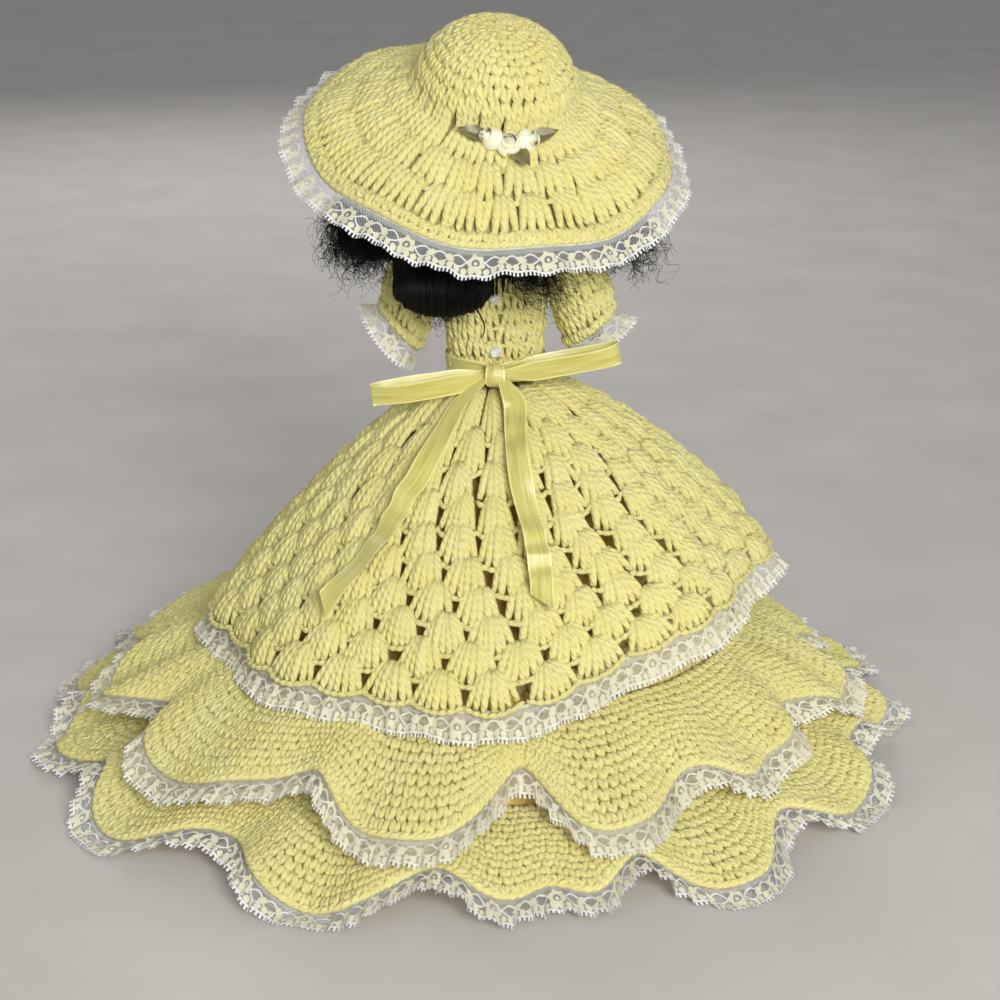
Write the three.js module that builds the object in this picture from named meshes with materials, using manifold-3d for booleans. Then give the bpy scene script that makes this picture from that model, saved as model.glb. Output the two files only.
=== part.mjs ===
// A fashion doll in a crocheted gown and a wide crocheted hat, standing inside its spread skirt.
// Millimetres, +Z up. The doll faces -Y, its left hand is on +X, and the gown's hem lies on z = 0.
import * as THREE from 'three';
import { mergeVertices } from 'three/addons/utils/BufferGeometryUtils.js';
import Module from 'manifold-3d';

const wasm = await Module();
wasm.setup();

// Clearances
const CLEARANCE = 0.3;
const CLOTH_EASE = 0.5;

// Doll: heights above the floor and main sizes
const FOOT_LIFT = 0.8;
const KNEE_HEIGHT = 82;
const WAIST_HEIGHT = 172;
const HIP_DROP = 24;
const HIP_HEIGHT = WAIST_HEIGHT - HIP_DROP;
const HIP_SPREAD = 11;
const HIP_RADIUS = 12.5;
const THIGH_RADIUS = 10.2;
const CALF_RADIUS = 8;
const ANKLE_RADIUS = 4.6;
const FOOT_LENGTH = 24;
const WAIST_HALF_WIDTH = 16;
const WAIST_HALF_DEPTH = 12;
const CHEST_HALF_WIDTH = 18.5;
const CHEST_HALF_DEPTH = 14.5;
const BACK_LENGTH = 57;
const SHOULDER_HEIGHT = WAIST_HEIGHT + BACK_LENGTH;
const SHOULDER_HALF_WIDTH = 17.5;
const SHOULDER_DISC_RADIUS = 7.5;
const SHOULDER_PEG_RADIUS = 3;
const SHOULDER_PEG_LENGTH = 6;
const NECK_LENGTH = 21;
const NECK_HEIGHT = SHOULDER_HEIGHT + NECK_LENGTH;
const NECK_RADIUS = 5.5;
const NECK_KNOB_RADIUS = 6.8;
const ELBOW_OUT = 27;
const ELBOW_DROP = 42;
const UPPER_ARM_RADIUS = 6;
const FOREARM_LENGTH = 40;
const WRIST_RADIUS = 3.6;
const HAND_LENGTH = 17;
const HEAD_HEIGHT = 45;
const HEAD_HALF_WIDTH = 18.3;
const HEAD_HALF_DEPTH = 21;

// Hair: a bouffant that carries the hat, a low smooth roll and two bunches of curls
const HAIR_THICKNESS = 11;
const ROLL_HALF_LENGTH = 16.5;
const ROLL_RADIUS = 10.5;
const CURL_RADIUS = 18;
const CURL_OUT = 42;
const CURL_BACK = 29;
const CURL_SHIFT = 2;
const ROLL_OUT = 22;
const ROLL_BACK = 39;
const ROLL_DROP = 30;

// Hat: its own axis leans back and to the doll's right
const HAT_RISE = 44;
const HAT_HEIGHT = NECK_HEIGHT + HAT_RISE;
const HAT_LEAN = 22;
const HAT_ROLL = 7.5;
const CROWN_RADIUS = 34;
const CROWN_RISE = 29;
const BRIM_RADIUS = 80;
const BRIM_DROP = 24;
const BRIM_WAVES = 7;
const BRIM_WAVE_HEIGHT = 1.6;
const HAT_WALL = 4;

// Gown
const YARN_WALL = 4;
const SLEEVE_RIM_RADIUS = 11.5;
const SLEEVE_PUFF_RADIUS = 15;
const SLEEVE_CUFF_RADIUS = 12.5;
const SLEEVE_WALL = 2.6;
const OVERSKIRT_RADIUS = 124;
const OVERSKIRT_HEM_HEIGHT = 62;
const OVERSKIRT_HEM_LIFT = 30;
const OVERSKIRT_FOLDS = 9;
const OVERSKIRT_FOLD_DEPTH = 3.2;
const UNDERSKIRT_HEM_RADIUS = 138;
const UNDERSKIRT_WALL = 3;
const MIDDLE_TIER_TOP = 56;
const MIDDLE_TIER_RADIUS = 162;
const MIDDLE_TIER_HEM_HEIGHT = 29;
const MIDDLE_TIER_FOLDS = 12;
const LOWER_TIER_TOP = 22;
const LOWER_TIER_RADIUS = 187;
const LOWER_TIER_FOLDS = 14;
const TIER_LIFT = 11;
const TIER_FOLD_DEPTH = 9.5;
const TUCK_WIDTH = 5.5;
const TIER_WALL = 3.2;
const SKIRT_SWAY = 10;
const HEM_CUT = 0.5;

// Trimmings
const LACE_WIDTH = 13;
const LACE_WALL = 0.8;
const RIBBON_WIDTH = 10;
const RIBBON_WALL = 0.8;
const BOW_LOOP_REACH = 54;
const BOW_KNOT_SIZE = 9;
const TAIL_LENGTH_LEFT = 117;
const TAIL_LENGTH_RIGHT = 108;
const TAIL_OUT = 7;
const TAIL_DRIFT_LEFT = 59;
const TAIL_DRIFT_RIGHT = 12;
const BUTTON_RADIUS = 2.6;
const BUTTON_DEPTH = 2;
const BUTTON_RISE = 12;
const BUTTON_SPACING = 24;
const ROSEBUD_RADIUS = 4.9;
const ROSEBUD_COUNT = 3;
const LEAF_LENGTH = 10;

// Colours, roughness and metalness of what the doll and its clothes are made of
const finishes = {
  skin: { color: 0x8a5a3c, roughness: 0.5, metalness: 0 },
  hair: { color: 0x0b0a0a, roughness: 0.55, metalness: 0 },
  yarn: { color: 0xf3ea98, roughness: 0.95, metalness: 0 },
  lace: { color: 0xf2efe2, roughness: 0.9, metalness: 0 },
  satin: { color: 0xdfd067, roughness: 0.35, metalness: 0 },
  rose: { color: 0xf4edc4, roughness: 0.5, metalness: 0 },
  leaf: { color: 0x7d7a35, roughness: 0.6, metalness: 0 },
  button: { color: 0xdad9d2, roughness: 0.1, metalness: 0 },
};

const { sin, cos, PI } = Math;
const { degToRad, lerp, smoothstep, clamp } = THREE.MathUtils;
const TURN = 2 * PI;
const vector = (x, y, z) => new THREE.Vector3(x, y, z);
const polar = (radius, angle, z) => vector(radius * cos(angle), radius * sin(angle), z);
const ellipseRadius = (a, b, angle) => (a * b) / Math.hypot(b * cos(angle), a * sin(angle));

// Closed geometry from points and triangles, with its faces turned outwards
function bodyFrom(points, faces) {
  const corner = (face, k) => points[faces[face + k]];
  let volume = 0;
  for (let face = 0; face < faces.length; face += 3) {
    volume += corner(face, 0).dot(corner(face, 1).clone().cross(corner(face, 2)));
  }
  const geometry = new THREE.BufferGeometry().setFromPoints(points);
  geometry.setIndex(volume < 0 ? faces.toReversed() : faces);
  return geometry;
}

// Triangles of the band between two rings of points, each given by its first index
function band(faces, lower, upper, count) {
  for (let i = 0; i < count; i++) {
    const next = (i + 1) % count;
    faces.push(lower + i, lower + next, upper + next, lower + i, upper + next, upper + i);
  }
}

// Closed body through rings of points that share one count, capped at both ends
function loft(rings) {
  const count = rings[0].length;
  const points = rings.flat();
  const faces = [];
  for (let ring = 0; ring + 1 < rings.length; ring++) {
    band(faces, ring * count, (ring + 1) * count, count);
  }
  const middle = (ring) => ring.reduce((sum, p) => sum.add(p), vector(0, 0, 0)).divideScalar(count);
  const first = points.push(middle(rings[0])) - 1;
  const last = points.push(middle(rings.at(-1))) - 1;
  const top = (rings.length - 1) * count;
  for (let i = 0; i < count; i++) {
    const next = (i + 1) % count;
    faces.push(first, next, i, last, top + i, top + next);
  }
  return bodyFrom(points, faces);
}

// Level ellipse, as one ring of a loft
function levelRing(z, halfWidth, halfDepth, sides, centreX = 0, centreY = 0) {
  return Array.from({ length: sides }, (_, i) => {
    const angle = (TURN * i) / sides;
    return vector(centreX + halfWidth * cos(angle), centreY + halfDepth * sin(angle), z);
  });
}

// Loft along a route: each stop has a point and two half-sizes of its elliptic section
function limb(stops, sides, across) {
  const rings = stops.map((stop, i) => {
    const before = stops[Math.max(i - 1, 0)].at;
    const after = stops[Math.min(i + 1, stops.length - 1)].at;
    const along = after.clone().sub(before).normalize();
    const side = across.clone().addScaledVector(along, -across.dot(along)).normalize();
    const up = along.clone().cross(side);
    return Array.from({ length: sides }, (_, k) => {
      const angle = (TURN * k) / sides;
      const point = stop.at.clone().addScaledVector(side, stop.wide * cos(angle));
      return point.addScaledVector(up, stop.deep * sin(angle));
    });
  });
  return loft(rings);
}

// Direction square to a surface that is given by an angle and a place from 0 at the top to 1 at the hem
function surfaceNormal(surface, angle, place) {
  const step = 1e-3;
  const low = Math.max(place - step, 0);
  const high = Math.min(place + step, 1);
  const round = surface(angle + step, place).sub(surface(angle - step, place));
  const down = surface(angle, high).sub(surface(angle, low));
  return down.cross(round).normalize();
}

// Cloth round the doll: a closed shell with its middle layer on the surface, never below the floor
function clothShell(surface, around, down, wall) {
  const points = [];
  const layer = (side) => {
    for (let row = 0; row <= down; row++) {
      for (let i = 0; i < around; i++) {
        const angle = (TURN * i) / around;
        const place = row / down;
        const normal = surfaceNormal(surface, angle, place);
        const point = surface(angle, place).addScaledVector(normal, (side * wall) / 2);
        point.z = Math.max(point.z, 0);
        points.push(point);
      }
    }
  };
  layer(1);
  layer(-1);
  const inside = (down + 1) * around;
  const skin = [];
  for (let row = 0; row < down; row++) {
    band(skin, (row + 1) * around, row * around, around);
  }
  const lining = skin.map((corner) => corner + inside).toReversed();
  const faces = [...skin, ...lining];
  band(faces, 0, inside, around);
  band(faces, inside + down * around, down * around, around);
  return bodyFrom(points, faces);
}

// Flat ribbon along a route, with the direction of its width at each stop
function ribbon(stops, width, wall) {
  const rings = stops.map((stop, i) => {
    const before = stops[Math.max(i - 1, 0)].at;
    const after = stops[Math.min(i + 1, stops.length - 1)].at;
    const along = after.clone().sub(before).normalize();
    const face = along.clone().cross(stop.across).normalize();
    const corners = [[1, 1], [-1, 1], [-1, -1], [1, -1]];
    return corners.map(([u, v]) => {
      const point = stop.at.clone().addScaledVector(stop.across, (u * width) / 2);
      return point.addScaledVector(face, (v * wall) / 2);
    });
  });
  return loft(rings);
}

// Solid for joining and cutting, and back to geometry
function solid(geometry) {
  const plain = new THREE.BufferGeometry().setAttribute('position', geometry.getAttribute('position'));
  plain.setIndex(geometry.getIndex());
  const merged = mergeVertices(plain, 1e-4);
  const vertProperties = new Float32Array(merged.getAttribute('position').array);
  const triVerts = new Uint32Array(merged.getIndex().array);
  return new wasm.Manifold(new wasm.Mesh({ numProp: 3, vertProperties, triVerts }));
}

function geometryOf(manifold) {
  const { vertProperties, triVerts } = manifold.getMesh();
  const geometry = new THREE.BufferGeometry();
  geometry.setAttribute('position', new THREE.BufferAttribute(vertProperties, 3));
  geometry.setIndex(new THREE.BufferAttribute(triVerts, 1));
  return geometry;
}

function cut(body, ...tools) {
  return geometryOf(tools.reduce((left, tool) => left.subtract(solid(tool)), solid(body)));
}

function join(body, ...more) {
  return geometryOf(more.reduce((sum, next) => sum.add(solid(next)), solid(body)));
}

const common = (body, other) => geometryOf(solid(body).intersect(solid(other)));

// Round bar along X
function barAcross(radius, fromX, toX, y, z, sides) {
  const bar = new THREE.CylinderGeometry(radius, radius, Math.abs(toX - fromX), sides);
  bar.rotateZ(PI / 2);
  return bar.translate((fromX + toX) / 2, y, z);
}

const root = new THREE.Group();

function place(name, geometry, finish) {
  const surface = geometry.index ? geometry.toNonIndexed() : geometry;
  surface.computeVertexNormals();
  const mesh = new THREE.Mesh(surface, new THREE.MeshStandardMaterial(finishes[finish]));
  mesh.name = name;
  root.add(mesh);
}

// Doll's torso: hips, waist, chest, shoulders and a neck that ends in a knob
const NECK_KNOB_HEIGHT = NECK_HEIGHT + NECK_KNOB_RADIUS * 0.7;
const torsoStations = [
  [HIP_HEIGHT - 5, 15, 10.5, 0],
  [HIP_HEIGHT + 2, 20, HIP_RADIUS - 0.4, 0],
  [HIP_HEIGHT + 9, 20, HIP_RADIUS + 1, 0],
  [WAIST_HEIGHT - 7, WAIST_HALF_WIDTH + 1.5, WAIST_HALF_DEPTH + 0.5, 0],
  [WAIST_HEIGHT, WAIST_HALF_WIDTH, WAIST_HALF_DEPTH, 0],
  [lerp(WAIST_HEIGHT, SHOULDER_HEIGHT, 0.3), CHEST_HALF_WIDTH - 1.5, CHEST_HALF_DEPTH - 1.5, -0.5],
  [lerp(WAIST_HEIGHT, SHOULDER_HEIGHT, 0.58), CHEST_HALF_WIDTH, CHEST_HALF_DEPTH, -2],
  [lerp(WAIST_HEIGHT, SHOULDER_HEIGHT, 0.84), SHOULDER_HALF_WIDTH + 1, CHEST_HALF_DEPTH - 3, -0.5],
  [SHOULDER_HEIGHT, SHOULDER_HALF_WIDTH + 1, 9.5, 0],
  [SHOULDER_HEIGHT + 6, SHOULDER_HALF_WIDTH - 3, 8.2, 0],
  [lerp(SHOULDER_HEIGHT, NECK_HEIGHT, 0.5), NECK_RADIUS + 1.5, NECK_RADIUS + 1, 0],
  [NECK_HEIGHT, NECK_RADIUS, NECK_RADIUS, 0],
  [NECK_KNOB_HEIGHT - NECK_KNOB_RADIUS * 0.5, NECK_KNOB_RADIUS * 0.87, NECK_KNOB_RADIUS * 0.87, 0],
  [NECK_KNOB_HEIGHT, NECK_KNOB_RADIUS, NECK_KNOB_RADIUS, 0],
  [NECK_KNOB_HEIGHT + NECK_KNOB_RADIUS * 0.6, NECK_KNOB_RADIUS * 0.8, NECK_KNOB_RADIUS * 0.8, 0],
  [NECK_KNOB_HEIGHT + NECK_KNOB_RADIUS, NECK_KNOB_RADIUS * 0.2, NECK_KNOB_RADIUS * 0.2, 0],
];
const TORSO_SIDES = 16;

function torsoForm(grow, lowest = 0, highest = Infinity) {
  const kept = torsoStations.filter(([z]) => z >= lowest && z <= highest);
  return kept.map(([z, a, b, y]) => levelRing(z, a + grow, b + grow, TORSO_SIDES, 0, y));
}

// Half-sizes and middle of the torso at a height, for what fits round it
function torsoAt(z) {
  const above = Math.max(torsoStations.findIndex(([height]) => height >= z), 1);
  const [low, high] = [torsoStations[above - 1], torsoStations[above]];
  const share = clamp((z - low[0]) / (high[0] - low[0]), 0, 1);
  const [, halfWidth, halfDepth, centreY] = low.map((value, i) => lerp(value, high[i], share));
  return { halfWidth, halfDepth, centreY };
}

const HIP_INNER = 1.8;
const HIP_OUTER = 23;
const ARM_FACE = SHOULDER_HALF_WIDTH + CLEARANCE;

function makeTorso() {
  const cuts = [];
  for (const side of [-1, 1]) {
    const wall = HIP_INNER - CLEARANCE;
    cuts.push(barAcross(HIP_RADIUS + CLEARANCE, side * wall, side * (HIP_OUTER + 8), 0, HIP_HEIGHT, 32));
    const flank = new THREE.BoxGeometry(10, 40, 24);
    cuts.push(flank.translate(side * (SHOULDER_HALF_WIDTH + 5), 0, SHOULDER_HEIGHT));
    const hole = SHOULDER_HALF_WIDTH - SHOULDER_PEG_LENGTH - CLEARANCE;
    cuts.push(barAcross(SHOULDER_PEG_RADIUS + CLEARANCE, side * hole, side * 40, 0, SHOULDER_HEIGHT, 16));
  }
  return cut(loft(torsoForm(0)), ...cuts);
}

// Head: chin to crown in level slices, with a small nose, hollowed for the neck's knob
const CHIN_HEIGHT = NECK_HEIGHT - 4;
const headStations = [
  [0, 0.24, 0.28, -9.5],
  [0.06, 0.5, 0.5, -7.5],
  [0.17, 0.74, 0.72, -4],
  [0.31, 0.9, 0.87, -2],
  [0.41, 0.96, 0.92, -1],
  [0.5, 0.99, 0.96, 0],
  [0.65, 1, 1, 1],
  [0.8, 0.9, 0.9, 1],
  [0.91, 0.66, 0.69, 1],
  [0.98, 0.32, 0.36, 1],
];
const noseAt = new Map([[0.31, 0.7], [0.41, 2.4], [0.5, 0.9]]);
const HEAD_SIDES = 20;

function headForm(grow) {
  const rings = headStations.map(([share, a, b, y]) => {
    const z = CHIN_HEIGHT - grow + share * (HEAD_HEIGHT + 2 * grow);
    const ring = levelRing(z, a * HEAD_HALF_WIDTH + grow, b * HEAD_HALF_DEPTH + grow, HEAD_SIDES, 0, y);
    ring[(3 * HEAD_SIDES) / 4].y -= noseAt.get(share) ?? 0;
    return ring;
  });
  return loft(rings);
}

function neckSocket(grow) {
  const knob = new THREE.SphereGeometry(NECK_KNOB_RADIUS + grow, TORSO_SIDES, 8).rotateX(PI / 2);
  knob.translate(0, 0, NECK_KNOB_HEIGHT);
  const throat = loft([
    levelRing(CHIN_HEIGHT - 20, NECK_RADIUS + 3 + grow, NECK_RADIUS + 3 + grow, TORSO_SIDES),
    levelRing(NECK_HEIGHT - 4, NECK_RADIUS + 1 + grow, NECK_RADIUS + 1 + grow, TORSO_SIDES),
    levelRing(NECK_HEIGHT + 2, NECK_RADIUS + 0.6 + grow, NECK_RADIUS + 0.6 + grow, TORSO_SIDES),
  ]);
  return join(knob, throat);
}

// Arm's places: shoulder face, elbow, wrist and the way the bent forearm points
function armPlaces(side) {
  const shoulder = vector(side * ARM_FACE, 0, SHOULDER_HEIGHT);
  const elbow = vector(side * (ARM_FACE + ELBOW_OUT), 2, SHOULDER_HEIGHT - ELBOW_DROP);
  const forward = vector(side * -0.28, -0.92, 0.26).normalize();
  const wrist = elbow.clone().addScaledVector(forward, FOREARM_LENGTH);
  return { shoulder, elbow, wrist, forward };
}

// Arm from below the shoulder to the wrist, and from there to the finger tips
function armForm(side, grow) {
  const { shoulder, elbow, wrist, forward } = armPlaces(side);
  const on = (from, to, share) => from.clone().lerp(to, share);
  const beyond = (share) => wrist.clone().addScaledVector(forward, HAND_LENGTH * share);
  const cap = shoulder.clone().add(vector(side * SHOULDER_DISC_RADIUS * 0.7, 0, -2));
  const upper = UPPER_ARM_RADIUS;
  const stops = [
    { at: on(cap, elbow, 0.02), wide: upper, deep: upper },
    { at: on(cap, elbow, 0.4), wide: upper, deep: upper },
    { at: on(cap, elbow, 0.86), wide: upper - 1, deep: upper - 1 },
    { at: on(elbow, wrist, 0.12), wide: upper - 1, deep: upper - 1 },
    { at: on(elbow, wrist, 0.4), wide: upper - 0.8, deep: upper - 1.2 },
    { at: wrist, wide: WRIST_RADIUS, deep: WRIST_RADIUS - 0.6 },
    { at: beyond(0.4), wide: WRIST_RADIUS + 0.8, deep: WRIST_RADIUS - 1.2 },
    { at: beyond(0.75), wide: WRIST_RADIUS, deep: WRIST_RADIUS - 1.8 },
    { at: beyond(1), wide: WRIST_RADIUS * 0.45, deep: WRIST_RADIUS * 0.3 },
  ];
  const sized = stops.map(({ at, wide, deep }) => ({ at, wide: wide + grow, deep: deep + grow }));
  return limb(sized, 12, vector(side, 0, 0.4));
}

// Arm: a flat-faced shoulder on a peg, an upper arm that hangs outwards, and a forearm bent forwards
function makeArm(side) {
  const { shoulder, wrist, forward } = armPlaces(side);
  const profile = [
    new THREE.Vector2(0, 0),
    new THREE.Vector2(SHOULDER_DISC_RADIUS, 0),
    new THREE.Vector2(SHOULDER_DISC_RADIUS, SHOULDER_DISC_RADIUS * 0.35),
    new THREE.Vector2(SHOULDER_DISC_RADIUS * 0.75, SHOULDER_DISC_RADIUS * 0.9),
    new THREE.Vector2(0, SHOULDER_DISC_RADIUS * 1.2),
  ];
  const disc = new THREE.LatheGeometry(profile, 16).rotateZ(-side * PI / 2);
  disc.translate(shoulder.x, shoulder.y, shoulder.z);
  const pegEnd = side * (SHOULDER_HALF_WIDTH - SHOULDER_PEG_LENGTH);
  const peg = barAcross(SHOULDER_PEG_RADIUS, pegEnd, side * (ARM_FACE + 2), 0, SHOULDER_HEIGHT, 12);
  const thumbEnd = wrist.clone().addScaledVector(forward, HAND_LENGTH * 0.5).add(vector(side * -4.5, 0, 3));
  const thumb = limb([
    { at: wrist.clone().addScaledVector(forward, 2), wide: 1.4, deep: 1.4 },
    { at: thumbEnd, wide: 0.9, deep: 0.9 },
  ], 6, vector(0, 0, 1));
  return join(armForm(side, 0), disc, peg, thumb);
}

// Leg: a round hip on the hinge line, thigh, knee, calf and a foot arched for a high heel
function makeLeg(side) {
  const x = side * HIP_SPREAD;
  const sole = FOOT_LIFT;
  const ankleHeight = sole + 17;
  const level = (z, wide, deep, y = 0) => levelRing(z, wide, deep, 12, x, y);
  const shape = loft([
    level(HIP_HEIGHT - 3, THIGH_RADIUS - 1, THIGH_RADIUS),
    level(HIP_HEIGHT - 18, THIGH_RADIUS - 0.8, THIGH_RADIUS),
    level(lerp(KNEE_HEIGHT, HIP_HEIGHT, 0.35), CALF_RADIUS + 0.4, CALF_RADIUS + 0.8),
    level(KNEE_HEIGHT, CALF_RADIUS - 1, CALF_RADIUS - 0.6, -0.5),
    level(lerp(ankleHeight, KNEE_HEIGHT, 0.66), CALF_RADIUS - 0.8, CALF_RADIUS, 1.5),
    level(ankleHeight, ANKLE_RADIUS - 0.8, ANKLE_RADIUS, 1),
    level(sole + 9, ANKLE_RADIUS - 0.6, 8, -3),
    level(sole + 2.5, ANKLE_RADIUS, FOOT_LENGTH * 0.24, -FOOT_LENGTH * 0.42),
    level(sole, ANKLE_RADIUS - 0.6, FOOT_LENGTH * 0.2, -FOOT_LENGTH * 0.45),
  ]);
  const width = HIP_OUTER - HIP_INNER - 3;
  const profile = [
    new THREE.Vector2(0, 0),
    new THREE.Vector2(HIP_RADIUS, 0),
    new THREE.Vector2(HIP_RADIUS, width * 0.6),
    new THREE.Vector2(HIP_RADIUS * 0.86, width * 0.85),
    new THREE.Vector2(HIP_RADIUS * 0.5, width),
    new THREE.Vector2(0, width),
  ];
  const hip = new THREE.LatheGeometry(profile, 20).rotateZ(-side * PI / 2);
  return join(hip.translate(side * HIP_INNER, 0, HIP_HEIGHT), shape);
}

place('doll_torso', makeTorso(), 'skin');
place('doll_head', cut(headForm(0), neckSocket(CLEARANCE)), 'skin');
place('doll_arm_left', makeArm(1), 'skin');
place('doll_arm_right', makeArm(-1), 'skin');
place('doll_leg_left', makeLeg(1), 'skin');
place('doll_leg_right', makeLeg(-1), 'skin');

// Hat: one revolved shell of dome and sloping brim, waved towards its edge, on a leaning axis
const hatTurn = new THREE.Matrix4().makeTranslation(0, 2, HAT_HEIGHT);
hatTurn.multiply(new THREE.Matrix4().makeRotationY(degToRad(-HAT_ROLL)));
hatTurn.multiply(new THREE.Matrix4().makeRotationX(degToRad(-HAT_LEAN)));

// Height of the hat's middle layer over its axis at a radius
function hatHeight(radius) {
  if (radius > CROWN_RADIUS) {
    return -BRIM_DROP * ((radius - CROWN_RADIUS) / (BRIM_RADIUS - CROWN_RADIUS));
  }
  return CROWN_RISE * Math.pow(1 - Math.pow(radius / CROWN_RADIUS, 2.6), 0.55);
}

const brimWave = (radius, angle) => {
  const share = smoothstep(radius, CROWN_RADIUS + 12, BRIM_RADIUS);
  return BRIM_WAVE_HEIGHT * share * sin(BRIM_WAVES * angle + 0.8);
};
const crownStops = [0, 0.4, 0.7, 0.9, 1].map((share) => share * CROWN_RADIUS);
const brimStops = [0.33, 0.67, 1].map((share) => lerp(CROWN_RADIUS, BRIM_RADIUS, share));

// Profile of the hat pushed square to itself by an offset, from the axis out to the brim's edge
function hatProfile(offset) {
  return [...crownStops, ...brimStops].map((radius) => {
    const near = Math.max(radius - 0.5, 0);
    const slope = Math.atan2(hatHeight(radius + 0.5) - hatHeight(near), radius + 0.5 - near);
    const bend = radius === CROWN_RADIUS ? -PI / 4 : slope;
    const outX = radius === 0 ? 0 : radius - offset * sin(bend);
    return new THREE.Vector2(outX, hatHeight(radius) + offset * cos(radius === 0 ? 0 : bend));
  });
}

const HAT_SIDES = 35;

// Lathe turns about Y: this stands its axis up, waves the brim and leans it into place
function hatLathe(profile) {
  const shape = new THREE.LatheGeometry(profile, HAT_SIDES).rotateX(PI / 2);
  const at = shape.getAttribute('position');
  for (let i = 0; i < at.count; i++) {
    const radius = Math.hypot(at.getX(i), at.getY(i));
    at.setZ(i, at.getZ(i) + brimWave(radius, Math.atan2(at.getY(i), at.getX(i))));
  }
  return shape.applyMatrix4(hatTurn);
}

const hatForm = (grow) => {
  const half = HAT_WALL / 2 + grow;
  return hatLathe([...hatProfile(-half), ...hatProfile(half).reverse()]);
};

// Everything under the hat, where the hair can be
function underHat() {
  const ceiling = hatProfile(-HAT_WALL / 2 - CLEARANCE);
  const edge = ceiling.at(-1).x;
  const below = -2 * HEAD_HEIGHT - 60;
  return hatLathe([new THREE.Vector2(0, below), new THREE.Vector2(edge, below), ...ceiling.reverse()]);
}

// Lace gathered to the brim's edge
const hatLaceSurface = (angle, share) => {
  const out = CLEARANCE + 0.1 + share * LACE_WIDTH;
  const radius = BRIM_RADIUS + out * 0.85;
  const flute = share * 1.2 * sin(4 * BRIM_WAVES * angle);
  const drop = hatHeight(BRIM_RADIUS) - out * 0.53;
  const z = drop + brimWave(BRIM_RADIUS, angle) + flute;
  return polar(radius, angle, z).applyMatrix4(hatTurn);
};

place('hat', hatForm(0), 'yarn');
place('hat_lace', clothShell(hatLaceSurface, 2 * HAT_SIDES, 1, LACE_WALL), 'lace');

// Hair: bouffant round the skull, open at the face, trimmed to sit inside the hat
const HEAD_TOP = CHIN_HEIGHT + HEAD_HEIGHT;
const hairStations = [
  [CHIN_HEIGHT - 24, -7, -12, 33],
  [CHIN_HEIGHT - 10, -1, -9, 25],
  [CHIN_HEIGHT - 2, 3, -5, 16],
  [CHIN_HEIGHT + 6, 6, 0, 9],
  [CHIN_HEIGHT + 16, 9, 5, 5],
  [CHIN_HEIGHT + 29, HAIR_THICKNESS, 9, 3],
  [HEAD_TOP - 2, HAIR_THICKNESS + 1, 10, 2],
  [HEAD_TOP + 10, HAIR_THICKNESS, 9, 3],
  [HEAD_TOP + 22, 6, 3, 6],
  [HEAD_TOP + 32, -8, -10, 9],
];

function hairForm(grow) {
  const rings = hairStations.map(([z, wide, deep, y], i) => {
    const end = i === 0 ? -grow : i === hairStations.length - 1 ? grow : 0;
    return levelRing(z + end, HEAD_HALF_WIDTH + wide + grow, HEAD_HALF_DEPTH + deep + grow, 16, 0, y);
  });
  return loft(rings);
}

function makeHairCap() {
  const face = new THREE.SphereGeometry(HEAD_HALF_DEPTH, 12, 8);
  face.scale(0.86, 1.3, 1.15).translate(0, -HEAD_HALF_DEPTH * 1.15, CHIN_HEIGHT + HEAD_HEIGHT * 0.36);
  const throat = new THREE.BoxGeometry(60, 80, 40);
  throat.translate(0, -HEAD_HALF_DEPTH - 4, CHIN_HEIGHT - 14);
  const inside = common(hairForm(0), underHat());
  return cut(inside, headForm(CLEARANCE), face, throat, neckSocket(CLEARANCE + 2));
}

// Smooth roll of hair low on the neck
function makeHairRoll() {
  const middle = vector(ROLL_OUT, ROLL_BACK, CHIN_HEIGHT - ROLL_DROP);
  const ends = [-1, -0.85, -0.5, 0, 0.5, 0.85, 1];
  const stops = ends.map((share) => {
    const round = Math.sqrt(1 - 0.94 * share * share);
    const at = vector(middle.x + share * ROLL_HALF_LENGTH, middle.y, middle.z + 2 * share * share);
    return { at, wide: ROLL_RADIUS * round, deep: ROLL_RADIUS * round * 0.95 };
  });
  return cut(limb(stops, 12, vector(0, 1, 0)), hairForm(CLEARANCE));
}

// Bunch of curls beside the neck: a lumpy ball
function makeCurls(side, shift, radius) {
  const ball = new THREE.SphereGeometry(1, 16, 10).rotateX(PI / 2);
  const at = ball.getAttribute('position');
  for (let i = 0; i < at.count; i++) {
    const point = vector(at.getX(i), at.getY(i), at.getZ(i));
    const lump = 1 + 0.09 * sin(5 * Math.atan2(point.y, point.x)) * sin(4 * Math.acos(point.z));
    const sized = point.multiply(vector(1.35, 0.95, 0.95)).multiplyScalar(radius * lump);
    at.setXYZ(i, sized.x + side * (CURL_OUT - shift), sized.y + CURL_BACK - shift, sized.z + CHIN_HEIGHT);
  }
  return common(cut(ball, hairForm(CLEARANCE)), underHat());
}

place('hair_cap', makeHairCap(), 'hair');
place('hair_roll', makeHairRoll(), 'hair');
place('hair_curls_left', makeCurls(1, 0, CURL_RADIUS), 'hair');
place('hair_curls_right', makeCurls(-1, CURL_SHIFT, CURL_RADIUS * 0.85), 'hair');

// Rosebuds and leaves where the brim meets the crown, behind the doll's right shoulder
function rosebud(index) {
  const lobes = 4;
  const heights = [0, 0.25, 0.6, 0.9, 1];
  const swell = [0.55, 0.95, 1, 0.78, 0.35];
  const rings = heights.map((height, ring) => Array.from({ length: 12 }, (_, i) => {
    const angle = (TURN * i) / 12;
    const petal = 1 + 0.1 * cos(lobes * angle + 2 * ring + index);
    return polar(ROSEBUD_RADIUS * swell[ring] * petal, angle, height * ROSEBUD_RADIUS * 2.1);
  }));
  return loft(rings);
}

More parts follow.
